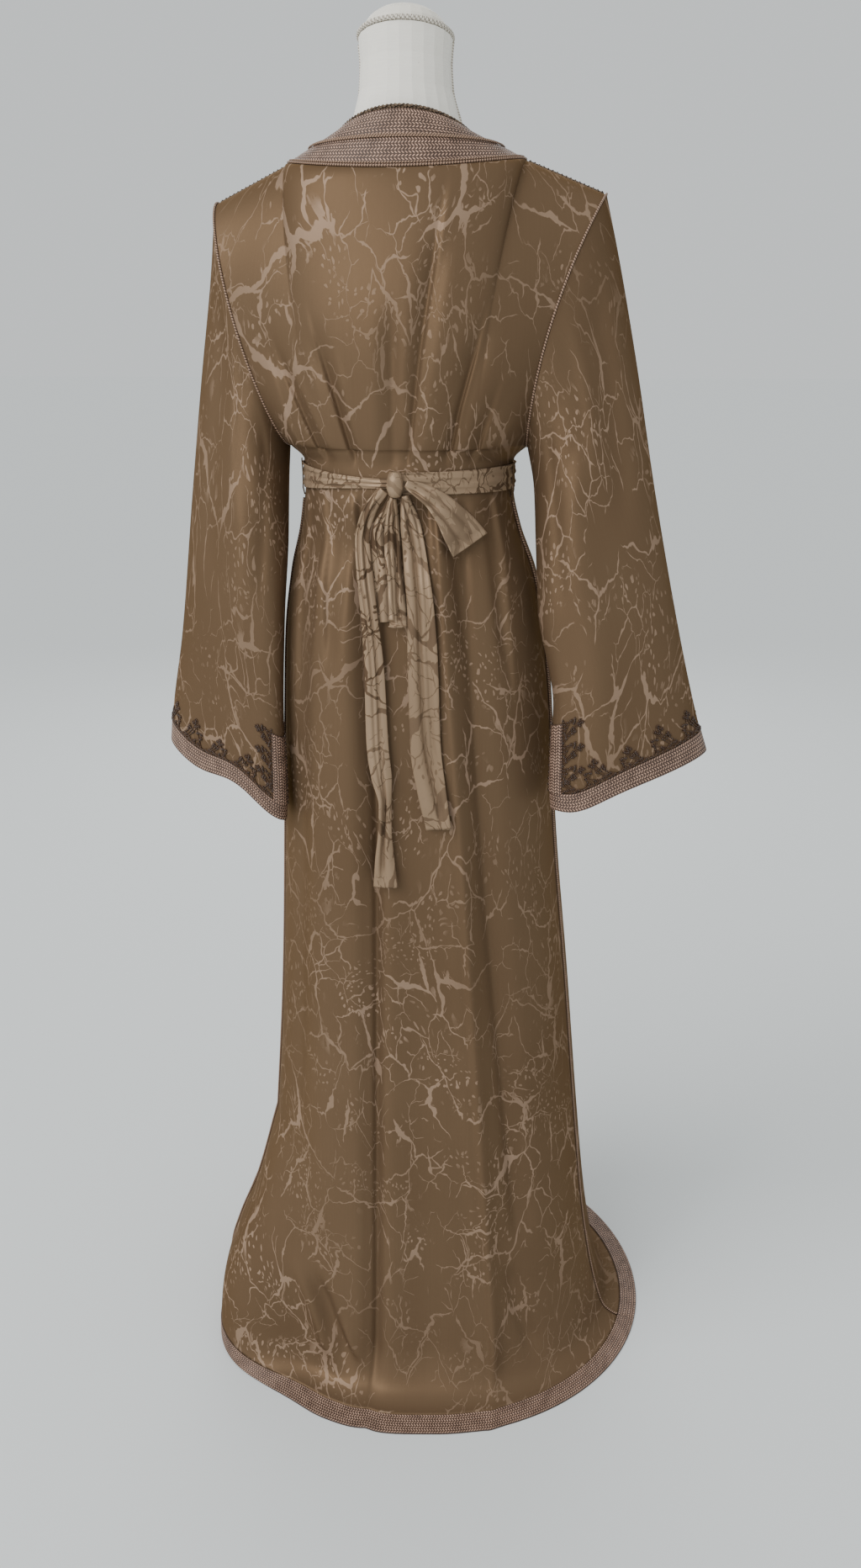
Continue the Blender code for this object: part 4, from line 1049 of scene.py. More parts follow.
@dataclass(frozen=True)
class VeinedSatin:
    """Satin jacquard with a woven figure of branching veins, flecks and splashes."""

    name: str
    ground: tuple
    figure: tuple
    shade: tuple
    figure_share: float
    roughness: float
    # cells to the metre, half widths of a vein and of a blot in metres, cut, drift
    veins: tuple = (
        (12.0, 0.0011, 0.0032, 0.430, 9.0),
        (21.0, 0.0008, 0.0024, 0.450, 12.0),
        (41.0, 0.0006, 0.0013, 0.480, 15.0),
    )
    scale: float = 1.0
    weave: float = 0.00045
    metallic: float = 0.30
    glint: tuple = (0.50, 0.41, 0.32, 1.0)

    def figure_mask(self, graph: Graph, place: bpy.types.NodeSocket) -> bpy.types.NodeSocket:
        """Where the figure is woven.

        Formula: lines between the cells of three warped cell patterns, as wide as a slow noise
        allows, plus splashes beside them and fine drops where another noise is high.

        Args:
            graph: the material's nodes.
            place: place in the cloth.

        Returns:
            Socket from 0, ground, to 1, figure.
        """
        stretched = graph.mapped(place, (1.0, 0.66, 1.0))
        bent = graph.wobble(graph.wobble(stretched, 6.0, 0.09), 34.0, 0.022)
        fine = graph.wobble(bent, 95.0, 0.0085)
        masks = []
        near = None
        for scale, thin, thick, cut, slow in self.veins:
            cell = graph.cells(fine, "DISTANCE_TO_EDGE", scale * self.scale)
            near = cell if near is None else near
            drift = graph.noise(place, slow * self.scale, 2.5, 0.55)
            line = graph.times(graph.ramp(drift, cut, cut + 0.05), thin * scale)
            blot = graph.times(graph.ramp(drift, cut + 0.10, cut + 0.20), (thick - thin) * scale)
            room = graph.minus(graph.plus(line, blot), cell)
            masks.append(graph.ramp(room, 0.0, 0.0006 * scale))
        flecks = graph.noise(graph.mapped(fine, (1.0, 0.5, 1.0), 0.4), 95.0, 2.5, 0.6)
        beside = graph.ramp(near, 0.22, 0.03)
        patch = graph.ramp(graph.noise(place, 9.0, 2.0), 0.50, 0.60)
        masks.append(graph.times(graph.ramp(flecks, 0.60, 0.615), graph.times(beside, patch)))
        drops = graph.ramp(graph.cells(fine, "F1", 120.0), 0.20, 0.15)
        wet = graph.ramp(graph.noise(place, 11.0, 2.0), 0.50, 0.62)
        masks.append(graph.times(drops, wet))
        total = masks[0]
        for mask in masks[1:]:
            total = graph.math("MAXIMUM", total, mask)
        return total

    def build(self) -> bpy.types.Material:
        """Make the material: ground and figure differ in colour and in gloss.

        Returns:
            The material.
        """
        graph = Graph(self.name)
        place = graph.place()
        mask = self.figure_mask(graph, place)
        strength = graph.ramp(graph.noise(place, 3.0, 2.0), 0.30, 0.62)
        kept = graph.linear(strength, self.figure_share * 0.7, self.figure_share * 0.3)
        share = graph.times(mask, kept)
        cloudy = graph.ramp(graph.noise(place, 2.2, 3.0), 0.30, 0.70)
        streak = graph.noise(graph.mapped(place, (420.0, 6.0, 1.0)), 1.0, 1.0)
        ground = graph.mix(graph.times(cloudy, 0.55), self.ground, self.shade)
        ground = graph.mix(graph.times(streak, 0.18), ground, self.shade)
        graph.shade({
            "Base Color": graph.mix(share, ground, self.figure),
            "Roughness": graph.linear(share, 0.16, self.roughness),
            "Metallic": self.metallic,
            "Specular IOR Level": 0.0,
            "Specular Tint": self.glint,
        })
        weave = graph.weave(*graph.split(place)[:2], self.weave)
        puckers = graph.noise(place, 90.0, 3.0)
        relief = graph.plus(graph.times(weave, 0.08), graph.times(mask, 0.5))
        graph.bump(graph.plus(relief, graph.times(puckers, 0.35)), 0.22, 0.0006)
        return graph.material


@dataclass(frozen=True)
class Braid:
    """Sfifa: silk strip of plaited rows, each row a run of slanted stitches."""

    name: str
    light: tuple
    # dark: the braid's darker tone where mixed in a little at random, and painted shade in its
    # grooves
    dark: tuple
    row: float = 0.0037
    stitch: float = 0.0036
    slant: float = 0.9

    def build(self) -> bpy.types.Material:
        """Make the material.

        Formula: rows are whole steps of v; within a row, a stitch is a step of u that slants one
        way in odd rows and the other in even rows. It is darkened where stitches meet and between
        rows: painted shade in the grooves of the plait.

        Returns:
            The material.
        """
        graph = Graph(self.name)
        place = graph.place()
        along, across, _ = graph.split(place)
        rows = graph.math("DIVIDE", across, self.row)
        local = graph.minus(graph.math("FRACT", rows), 0.5)
        odd = graph.math("MODULO", graph.math("ABSOLUTE", graph.math("FLOOR", rows)), 2.0)
        lean = graph.times(graph.times(local, graph.linear(odd, 2.0, -1.0)), self.slant)
        edge = graph.zigzag(graph.plus(graph.math("DIVIDE", along, self.stitch), lean))
        # gap marks the grooves: it sinks the relief and mixes the colour to dark as painted shade
        gap = graph.math(
            "MAXIMUM", graph.ramp(edge, 0.30, 0.62), graph.ramp(graph.zigzag(rows), 0.52, 0.84)
        )
        patchy = graph.ramp(graph.noise(place, 55.0, 3.0), 0.3, 0.8)
        light = graph.mix(graph.times(patchy, 0.5), self.light, self.dark)
        graph.shade({
            "Base Color": graph.mix(graph.times(gap, 0.92), light, self.dark),
            "Roughness": 0.50,
            "Specular IOR Level": 0.35,
        })
        graph.bump(graph.minus(1.0, gap), 0.7, 0.0008)
        return graph.material


@dataclass(frozen=True)
class CordSilk:
    """Twisted or plaited silk cord."""

    name: str
    light: tuple
    # dark: painted shade in the grooves between the strands
    dark: tuple
    pitch: float = 0.0030
    twist: float = 900.0

    def build(self) -> bpy.types.Material:
        """Make the material: stripes where u over the pitch plus v times the twist steps; the dark
        stripes are painted shade in the grooves between strands.

        Returns:
            The material.
        """
        graph = Graph(self.name)
        along, around, _ = graph.split(graph.place())
        turned = graph.times(around, self.twist / (2 * math.pi))
        wave = graph.zigzag(graph.plus(graph.math("DIVIDE", along, self.pitch), turned))
        # gap marks the grooves: it sinks the relief and mixes the colour to dark as painted shade
        gap = graph.ramp(wave, 0.45, 0.95)
        graph.shade({
            "Base Color": graph.mix(gap, self.light, self.dark),
            "Roughness": 0.55,
            "Specular IOR Level": 0.25,
        })
        graph.bump(graph.minus(1.0, gap), 0.8, 0.0006)
        return graph.material


@dataclass(frozen=True)
class Linen:
    """Plain woven linen of the dress form."""

    name: str
    tone: tuple
    shade: tuple
    pitch: float = 0.0011

    def build(self) -> bpy.types.Material:
        """Make the material: threads from sines of height and of x plus y, slubs and a few specks.

        Returns:
            The material.
        """
        graph = Graph(self.name)
        place = graph.object_place()
        x, y, z = graph.split(place)
        weave = graph.weave(graph.plus(x, y), z, self.pitch)
        slubs = graph.noise(graph.mapped(place, (60.0, 60.0, 700.0)), 1.0, 2.0)
        specks = graph.times(graph.ramp(graph.noise(place, 260.0, 2.0), 0.70, 0.78), 0.5)
        graph.shade({
            "Base Color": graph.mix(
                graph.math("MULTIPLY_ADD", slubs, 0.35, specks, clamp=True), self.tone, self.shade
            ),
            "Roughness": 0.9,
            "Sheen Weight": 0.15,
        })
        graph.bump(graph.plus(graph.times(weave, 0.35), slubs), 0.25, 0.0005)
        return graph.material


@dataclass(frozen=True)
class Smooth:
    """Plain finish with a little unevenness in colour and gloss."""

    name: str
    tone: tuple
    shade: tuple
    roughness: float
    metallic: float = 0.0
    scale: float = 30.0

    def build(self) -> bpy.types.Material:
        """Make the material: noise mixes both tones and varies the roughness.

        Returns:
            The material.
        """
        graph = Graph(self.name)
        patchy = graph.noise(graph.object_place(), self.scale, 4.0)
        graph.shade({
            "Base Color": graph.mix(patchy, self.tone, self.shade),
            "Roughness": graph.linear(patchy, 0.15, self.roughness - 0.07),
            "Metallic": self.metallic,
        })
        graph.bump(graph.noise(graph.object_place(), 400.0, 2.0), 0.08, 0.0004)
        return graph.material


TAUPE = VeinedSatin(
    "taupe_satin", colour(107, 87, 67), colour(152, 128, 108), colour(88, 69, 51), 0.88, 0.40,
)
CHAMPAGNE = VeinedSatin(
    "champagne_satin", colour(158, 135, 111), colour(82, 64, 49), colour(122, 101, 80), 0.92, 0.36,
    scale=1.4,
    veins=(
        (12.0, 0.0016, 0.0060, 0.380, 9.0),
        (21.0, 0.0011, 0.0034, 0.400, 12.0),
        (41.0, 0.0008, 0.0018, 0.450, 15.0),
    ),
)
# The dark colour of each braid and cord is painted shade in its grooves; the braid also mixes it in
# a little at random.
SFIFA = Braid("sfifa_braid", colour(196, 160, 138), colour(44, 29, 22))
DARK_CORD = CordSilk("dark_cord", colour(100, 83, 66), colour(40, 30, 23), 0.0042, 700.0)
SEAM_CORD = CordSilk("seam_cord", colour(152, 124, 104), colour(48, 35, 28))
VINE_CORD = CordSilk("vine_cord", colour(88, 64, 46), colour(36, 25, 18), 0.0016)
LINEN = Linen("ivory_linen", colour(246, 242, 232), colour(214, 207, 194))
FORM_BRAID = CordSilk("form_braid", colour(222, 215, 202), colour(150, 140, 126), 0.0026)
CAP = Smooth("form_cap", colour(236, 231, 220), colour(226, 220, 206), 0.5)
METAL = Smooth("stand_metal", colour(38, 38, 40), colour(30, 30, 32), 0.38, 0.6)
BEAD = Smooth("dark_bead", colour(74, 58, 48), colour(52, 40, 34), 0.22, 0.35)


@dataclass
class Wardrobe:
    """Builds each finish once, dresses every piece and logs its faces, and the cut size of each
    sheet of cloth.
    """

    made: dict = field(default_factory=dict)

    def material(self, finish: object) -> bpy.types.Material:
        """The finish's material, built on first use.

        Args:
            finish: one of the finishes above.

        Returns:
            The material.
        """
        if finish.name not in self.made:
            self.made[finish.name] = finish.build()
        return self.made[finish.name]

    def wear(
        self,
        item: bpy.types.Object,
        finish: object,
        slot: str,
        node: Optional[str] = None,
        held: Optional[Held] = None,
        rests_on: Sequence[str] = (),
        extras: Sequence[bpy.types.Object] = (),
    ) -> bpy.types.Object:
        """Dress a piece, let it ride on the root body and log its faces and cut size.

        Args:
            item: the piece.
            finish: its finish.
            slot: not used.
            node: the CAD node that it replaces, if any.
            held: how it is held, if it is a sheet of cloth.
            rests_on: what such a sheet hangs from or lies on; not used.
            extras: pieces sewn on that sheet; not used.

        Returns:
            The piece.
        """
        item.data.materials.clear()
        item.data.materials.append(self.material(finish))
        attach(item, "root")
        if node:
            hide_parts(node)
        if held:
            width, length, area = cut_size(item)
            list(rests_on)
            list(extras)
            LOG.info("%s: cut %.3f x %.3f m, %.4f m2", item.name, width, length, area)
        LOG.info("%s: %d faces", item.name, len(item.data.polygons))
        return item

    def redress(self, node: str, finish: object) -> None:
        """Give a CAD node that stays its full finish.

        Args:
            node: the node's name.
            finish: its finish.
        """
        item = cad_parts[node]
        item.data.materials.clear()
        item.data.materials.append(self.material(finish))
        LOG.info("%s keeps its solid", node)


def cut_size(item: bpy.types.Object) -> tuple[float, float, float]:
    """Flat size of a piece of cloth.

    Formula: width and length are the spans of its cloth map, the area is half the sum of its
    face areas, because the cloth has two sides.

    Args:
        item: the piece.

    Returns:
        Width, length and area.
    """
    layer = item.data.uv_layers["cloth"].uv
    places = np.empty(len(layer) * 2, dtype=np.float32)
    layer.foreach_get("vector", places)
    width, length = (round(float(span), 4) for span in np.ptp(places.reshape(-1, 2), axis=0))
    areas = np.empty(len(item.data.polygons))
    item.data.polygons.foreach_get("area", areas)
    return width, length, round(min(float(areas.sum()) / 2, width * length), 5)


# Pieces


@dataclass
class Tailor:
    """What every maker of cloth pieces shares: the cut, the wardrobe, wall thicknesses and gaps."""

    cut: Cut
    wardrobe: Wardrobe
    cloth: float = 0.0012
    trim: float = 0.0020
    trim_lift: float = 0.0006
    seam: float = 0.0003

    def braid(
        self,
        name: str,
        layer: Callable[[Array | float], Array],
        ribs: Array,
        node: Optional[str],
        rests_on: Sequence[str],
        closed: bool = False,
        swapped: bool = False,
        lifts: Optional[tuple[float, float]] = None,
    ) -> bpy.types.Object:
        """A braid strip sewn on cloth: ribs outside, plain inside.

        Args:
            name: object name.
            layer: the strip's points at a lift.
            ribs: how far the outer face stands out in its ribs.
            node: the CAD node that it replaces, if any.
            rests_on: what it is sewn to.
            closed: whether it is a ring.
            swapped: whether u runs down the grid instead of across it.
            lifts: lift of the outer and inner face, if not the usual ones.

        Returns:
            The dressed strip.
        """
        over, under = lifts or (self.trim_lift, self.trim_lift - self.trim)
        outer, inner = layer(over + ribs), layer(under + 0 * ribs)
        place = cloth_map(outer, closed)
        place = place[..., ::-1] if swapped else place
        item = Shell(name, outer, inner, place, closed).build()
        return self.wardrobe.wear(item, SFIFA, "sfifa_braid", node, Held.HUNG, rests_on)


def ribbed(share: Array, count: float, height: float) -> Array:
    """Ribs across a strip: height times the sine's absolute value, count ribs from 0 to 1."""
    return height * np.abs(np.sin(math.pi * share * count))


@dataclass
class Panels(Tailor):
    """Back and two fronts, their hem bands and front bands."""

    hem_band: float = 0.029
    back_columns: int = 272
    front_columns: int = 100
    lower_rows: int = 124
    row_crowd: float = 0.55
    upper_rows: int = 46
    top_part: float = 0.998
    back_width: float = 0.60
    front_width: float = 0.30
    hem_rows: int = 29
    hem_columns_back: int = 240
    hem_columns_front: int = 90
    rib: float = 0.0006
    front_rib: float = 0.0004
    front_ribs: int = 18
    cut_left: tuple = (1.7, 0.4)
    cut_right: tuple = (3.3, 0.9)

    def rows(self) -> Array:
        """Lengths up from the hem where the lower cloth has rows, closer near hem and belt.

        Formula: even steps, less a sine of one turn.

        Returns:
            The lengths.
        """
        part = np.linspace(0.0, 1.0, self.lower_rows)
        part = part - self.row_crowd * np.sin(2 * math.pi * part) / (2 * math.pi)
        return self.hem_band + self.seam + part * (self.cut.body.top - self.hem_band - self.seam)

    def back_lower(self, across: Array, along: Array, out: float | Array) -> Array:
        """Lower back between the side seams: angle is a share of the way from seam to seam.

        Args:
            across: from the left seam (0) to the right one (1).
            along: length up from the hem.
            out: how far the points stand out.

        Returns:
            The points.
        """
        body = self.cut.body
        start = body.seam_angle + body.seam_shift(body.seam_angle, self.seam / 2, along)
        return body.surface(start + (math.pi - 2 * start) * across, along, out)

    def back_upper(self, across: Array, part: Array, out: float) -> Array:
        """Upper back moved out along its normal."""
        inset = self.seam / self.back_width
        return moved_out(self.cut.yoke_back, inset + (1 - 2 * inset) * across, part, out)

    def front_lower(self, side: Side) -> Surface:
        """Lower front of one side: angle is a share of the way from side seam to front band.

        Args:
            side: the panel's side.

        Returns:
            The surface, of across, length up and out.
        """
        body = self.cut.body

        def surface(across: Array, along: Array, out: float | Array) -> Array:
            """Points of the panel.

            Args:
                across: from the side seam (0) to the front band (1).
                along: length up from the hem.
                out: how far the points stand out.

            Returns:
                The points.
            """
            inset = body.seam_shift(body.seam_angle, self.seam / 2, along)
            start = body.seam_angle - inset
            start = start if side is Side.LEFT else -math.pi - start
            end = body.band_angle(side, along) + inset * side.sign
            return body.surface(start + (end - start) * across, along, out)

        return surface

    def front_upper(self, side: Side) -> Surface:
        """Upper front of one side, moved out along its normal.

        Args:
            side: the panel's side.

        Returns:
            The surface, of across, part up the armhole and out.
        """
        inset = self.seam / self.front_width

        def patch(across: Array, part: Array) -> Array:
            """The yoke's points."""
            return self.cut.yoke_front(side, across, part)

        def surface(across: Array, part: Array, out: float) -> Array:
            """The yoke's points between its seams, moved out."""
            return moved_out(patch, inset + (1 - 2 * inset) * across, part, -side.sign * out)

        return surface

    def panel(
        self, name: str, lower: Surface, upper: Surface, columns: int, shift: tuple[float, float]
    ) -> None:
        """One panel: its lower grid and its yoke, joined at the armpit.

        Args:
            name: object name.
            lower: surface below the armpit.
            upper: surface above it.
            columns: spaces across.
            shift: where in the woven pattern it is cut.
        """
        across = np.linspace(0.0, 1.0, columns + 1)[None, :]
        along = self.rows()[:, None]
        parts = np.linspace(0.0, self.top_part, self.upper_rows + 1)[1:, None]
        outer, inner = (
            np.concatenate([lower(across, along, out), upper(across, parts, out)])
            for out in (0.0, -self.cloth)
        )
        item = Shell(name, outer, inner, cloth_map(outer, False, shift)).build()
        node = name.replace("cloth_", "kaftan_")
        self.wardrobe.wear(item, TAUPE, "taupe_satin", node, Held.HUNG, ("dress_form",))

    def build(self) -> None:
        """Make all the panels and their bands."""
        self.panel("cloth_back", self.back_lower, self.back_upper, self.back_columns, (0.0, 0.0))
        for side, shift in ((Side.LEFT, self.cut_left), (Side.RIGHT, self.cut_right)):
            lower, upper = self.front_lower(side), self.front_upper(side)
            self.panel("cloth_front_" + side.value, lower, upper, self.front_columns, shift)
        along = np.linspace(0.0, self.hem_band, self.hem_rows)[:, None]
        ribs = ribbed(along / SFIFA.row, 1, self.rib)
        for name, surface, columns in (
            ("back", self.back_lower, self.hem_columns_back),
            ("front_left", self.front_lower(Side.LEFT), self.hem_columns_front),
            ("front_right", self.front_lower(Side.RIGHT), self.hem_columns_front),
        ):
            across = np.linspace(0.0, 1.0, columns + 1)[None, :]
            self.braid(
                "trim_hem_band_" + name, lambda out: surface(across, along, out), ribs,
                "hem_band_" + name, ("cloth_" + name,),
            )
        self.front_bands()

    def front_bands(self) -> None:
        """Braid strips down both front edges: angles from the panel's edge to the middle."""
        body = self.cut.body
        rows = np.insert(self.rows(), 0, 0.0)[:-1:2]
        rows = np.append(rows, body.top - self.trim)[:, None]
        middle = -math.pi / 2
        across = np.linspace(0.0, 1.0, 2 * self.front_ribs + 1)[None, :]
        ribs = ribbed(across, self.front_ribs, self.front_rib) + 0 * rows
        for side in Side:
            gap = body.seam_shift(middle, self.seam / 2, rows) * side.sign
            edge = body.band_angle(side, rows)
            angle = (edge - gap) * (1 - across) + (middle + gap) * across
            self.braid(
                "trim_front_band_" + side.value, lambda out: body.surface(angle, rows, out), ribs,
                "front_band_" + side.value, ("cloth_front_" + side.value,), swapped=True,
            )


@dataclass
class Sleeves(Tailor):
    """Bell sleeves, cuff bands, slit strips and knots, and the vine embroidery above the cuffs."""

    cuff_band: float = 0.034
    length: float = 0.66
    slit: float = 0.105
    slit_open: float = 0.05
    slit_turn: float = 0.58
    slit_rows: int = 61
    slit_columns: int = 17
    slit_lifts: tuple = (0.0020, 0.0003)
    slit_rib: float = 0.0004
    knots: int = 11
    knot_radius: float = 0.0021
    knot_lift: float = 0.0015
    clear: float = 0.0008
    bow_end: float = 0.25
    fold_fade: float = 0.12
    columns: int = 120
    rows: int = 120
    cuff_rows: int = 29
    cuff_columns: int = 180
    rib: float = 0.0006
    sprigs: int = 10
    # a sprig's middle size, and how far it varies and how fast round the cuff
    sprig_size: tuple = (0.92, 0.10, 2.4)
    # sprigs beside the slit: heights above the cuff band, and size
    slit_sprigs: tuple = (0.030, 0.062, 0.094)
    slit_sprig_size: float = 0.72
    sprig_foot: float = 0.001
    vine_radius: float = 0.00075
    vine_lift: float = 0.0009
    foot_radius: float = 0.0009
    # the waved line's height and sway, and its waves to a sprig
    foot_wave: tuple = (0.0032, 0.0020, 3)
    bead_radius: float = 0.0012
    bead_lift: float = 0.0012
    cut_left: tuple = (5.1, 0.2)
    cut_right: tuple = (6.4, 0.7)
    # share of the length, outer edge's x, y and z, inner edge's x, y and z, half depth
    rings: dict = field(default_factory=lambda: {
        Side.LEFT: (
            (0.14, 0.2230, 0.002, 1.440, 0.1390, 0.030, 1.213, 0.053),
            (0.32, 0.2410, 0.008, 1.330, 0.1370, 0.052, 1.148, 0.046),
            (0.52, 0.2620, 0.014, 1.190, 0.1410, 0.070, 1.058, 0.041),
            (0.76, 0.2850, 0.020, 1.030, 0.1450, 0.082, 0.932, 0.037),
            (0.92, 0.3040, 0.024, 0.930, 0.1430, 0.092, 0.844, 0.036),
            (1.00, 0.3090, 0.026, 0.888, 0.1440, 0.096, 0.810, 0.036),
        ),
        Side.RIGHT: (
            (0.14, -0.2340, 0.002, 1.450, -0.1490, 0.030, 1.213, 0.053),
            (0.32, -0.2590, 0.006, 1.345, -0.1540, 0.045, 1.148, 0.047),
            (0.52, -0.2890, 0.012, 1.205, -0.1600, 0.062, 1.072, 0.043),
            (0.76, -0.3290, 0.018, 1.040, -0.1820, 0.076, 0.958, 0.039),
            (0.92, -0.3570, 0.022, 0.940, -0.1820, 0.084, 0.874, 0.038),
            (1.00, -0.3710, 0.024, 0.899, -0.1840, 0.088, 0.840, 0.038),
        ),
    })
    # degrees round the cuff, half width in radians, rise
    waves: dict = field(default_factory=lambda: {
        Side.LEFT: ((105, 0.50, 0.020),),
        Side.RIGHT: ((128, 0.45, -0.009),),
    })
    wave_start: float = 0.70
    # degrees round the sleeve, start and end along it, half width in radians, depth
    folds: dict = field(default_factory=lambda: {
        Side.LEFT: (
            (62, 0.05, 0.62, 0.22, -0.006), (100, 0.30, 0.98, 0.30, 0.005),
            (285, 0.20, 0.95, 0.3, -0.006), (84, 0.00, 0.40, 0.10, 0.0025),
            (128, 0.05, 0.55, 0.12, -0.0025),
        ),
        Side.RIGHT: (
            (58, 0.05, 0.55, 0.22, -0.006), (105, 0.25, 0.98, 0.3, 0.005),
            (280, 0.20, 0.95, 0.3, -0.006), (80, 0.00, 0.42, 0.10, 0.0025),
            (126, 0.05, 0.60, 0.12, -0.0025),
        ),
    })

    @property
    def cuff(self) -> float:
        """Share of the sleeve's length at which the cuff band starts."""
        return 1 - self.cuff_band / self.length

    def surface(self, side: Side, turn: Array, along: Array, out: float | Array = 0.0) -> Array:
        """Sleeve: an oval between its outer edge (turn 0) and inner edge (turn pi).

        Formula: middle plus reach times cosine, with the half depth, folds and out times sine
        added in y, and the cuff raised or lowered by bells round it.

        Args:
            side: the sleeve's side.
            turn: angle round the sleeve.
            along: share of its length.
            out: how far the points stand out.

        Returns:
            The points.
        """
        turn, along = np.broadcast_arrays(np.asarray(turn, float), np.asarray(along, float))
        tip = self.cut.arms.tip(side)
        pit = self.cut.body.outline(self.cut.body.side_seam(side), self.cut.body.top)
        start = (0.0, *tip, *pit, self.cut.arms.half_depth)
        values = read_table((start,) + self.rings[side], along)
        outer, inner = np.stack(values[:3], axis=-1), np.stack(values[3:6], axis=-1)
        bow = self.cut.arms.bow(side) * np.clip(1 - along / self.bow_end, 0, 1) ** 2
        middle, reach = (outer + inner) / 2, (outer - inner) / 2

        def bell(degrees: float, half: float) -> Array:
            """Bell curve round the sleeve: exponential of minus the squared angle over half."""
            away = np.angle(np.exp(1j * (turn - math.radians(degrees))))
            return np.exp(-(away / half) ** 2)

        fold = np.zeros(along.shape)
        for degrees, start, end, half, depth in self.folds[side]:
            fade = smooth_step((along - start) / self.fold_fade)
            fade = fade * smooth_step((end - along) / self.fold_fade)
            fold = fold + depth * bell(degrees, half) * fade
        sine = np.sin(turn)
        here = middle + reach * np.cos(turn)[..., None]
        grown = smooth_step((along - self.wave_start) / (1 - self.wave_start))
        for degrees, half, rise in self.waves[side]:
            here[..., 2] += rise * bell(degrees, half) * grown
        here[..., 0] += bow * sine ** 2 + math.copysign(self.clear, tip[0])
        here[..., 1] += (values[6] + fold + out) * sine
        return here + unit(reach) * (out * np.cos(turn))[..., None]

    def around(self, side: Side, along: float) -> tuple[Array, Array]:
        """Turns round the sleeve at one level, and the running length at each."""
        turns = np.linspace(0.0, 2 * math.pi, 721)
        return turns, run_length(self.surface(side, turns, np.array(along)), 0)

    def motif(self) -> tuple[Array, Array]:
        """One sprig of the vine as flat curves and bead places, in metres from its foot.

        Formula: stems are quadratic curves through three points; curls are circles.

        Returns:
            Curves of 13 points each, and bead centres.
        """
        t = np.linspace(0.0, 1.0, 13)[None, :, None]
        stems = np.array([
            [(-21, 1), (-8, 8), (4, 33)], [(-18, 0.5), (-4, 8), (7, 31)],
            [(-14, 0.5), (0, 6), (15, 15)], [(18, 1), (12, 14), (5, 36)],
            [(-23, 3), (-12, 12), (-9, 18)], [(-2, 1), (8, 3), (21, 1)],
            [(2, 20), (-3, 24), (-7, 23)], [(8, 22), (13, 26), (16, 23)],
        ], float) / 1000
        start, bend, end = stems[:, None, 0], stems[:, None, 1], stems[:, None, 2]
        lines = start * (1 - t) ** 2 + bend * 2 * t * (1 - t) + end * t ** 2
        curls = np.array([
            (5, 39, 2.6), (0.5, 34, 2.4), (10, 34, 2.4), (4.5, 30, 2.0), (-9, 20, 2.2),
            (15.5, 17, 2.2), (-7, 5, 2.5), (3, 6, 2.6), (11, 5.5, 2.3), (-15, 7, 2.1),
            (16.5, 24, 1.9), (-7, 25, 1.9),
        ]) / 1000
        circle = np.concatenate([np.cos(t * 2 * math.pi), np.sin(t * 2 * math.pi)], axis=-1)
        rounds = curls[:, None, :2] + curls[:, None, 2:] * circle
        spots = np.concatenate([curls[:, :2], lines[:, ::4].reshape(-1, 2)])
        return np.concatenate([lines, rounds]), spots

    def vine(self, side: Side) -> list[bpy.types.Object]:
        """Embroidery: sprigs round the cuff, a waved line at their feet, and beads.

        Formula: a flat place (s, h) goes to the turn at running length s and to the level h above
        the cuff band, then out by the cord's radius. Sprigs beside the slit are turned a quarter.

        Args:
            side: the sleeve's side.

        Returns:
            The cords, the waved line and the beads.
        """
        top = self.cuff - self.seam / self.length
        turns, lengths = self.around(side, top)
        girth = lengths[-1]
        count = self.sprigs
        curves, spots = self.motif()
        centres = (np.arange(count) + 0.5) * girth / count
        usual, varies, pace = self.sprig_size
        size = usual + varies * np.sin(np.arange(count) * pace)

        def lay(flat: Array, out: float) -> Array:
            """Bring flat places on to the sleeve."""
            turn = np.interp(np.mod(flat[..., 0], girth), lengths, turns)
            return self.surface(side, turn, top - flat[..., 1] / self.length, out)

        foot = np.stack([centres, centres * 0 + self.sprig_foot], axis=-1)
        upright = np.broadcast_to(np.eye(2), (count, 2, 2)) * size[:, None, None]
        edges = [np.interp(math.pi + way * self.slit_turn, turns, lengths) for way in (-1, 1)]
        beside = np.array([(edge, height) for edge in edges for height in self.slit_sprigs])
        lying = np.array([[(0.0, 1.0), (way, 0.0)] for way in (-1, 1) for _ in self.slit_sprigs])
        foot = np.concatenate([foot, beside])
        turned = np.concatenate([upright, lying * self.slit_sprig_size])
        flat = np.einsum("kij,nmi->knmj", turned, curves) + foot[:, None, None]
        flat = flat.reshape(-1, curves.shape[1], 2)
        cords = sweep("vine_cords_" + side.value, lay(flat, self.vine_lift), self.vine_radius, 4)
        s = np.linspace(0.0, girth, 361)[:-1]
        high, sway, waves = self.foot_wave
        wave = np.stack([s, high + sway * np.sin(s / girth * 2 * math.pi * count * waves)], axis=-1)
        line = lay(wave[None], self.vine_lift)
        foot_line = sweep("vine_foot_" + side.value, line, self.foot_radius, 5, loop=True)
        places = (np.einsum("kij,ni->knj", turned, spots) + foot[:, None]).reshape(-1, 2)
        dots = beads("vine_beads_" + side.value, lay(places, self.bead_lift), self.bead_radius)
        return [
            self.wardrobe.wear(item, finish, "dark_cord")
            for item, finish in ((cords, VINE_CORD), (foot_line, VINE_CORD), (dots, BEAD))
        ]

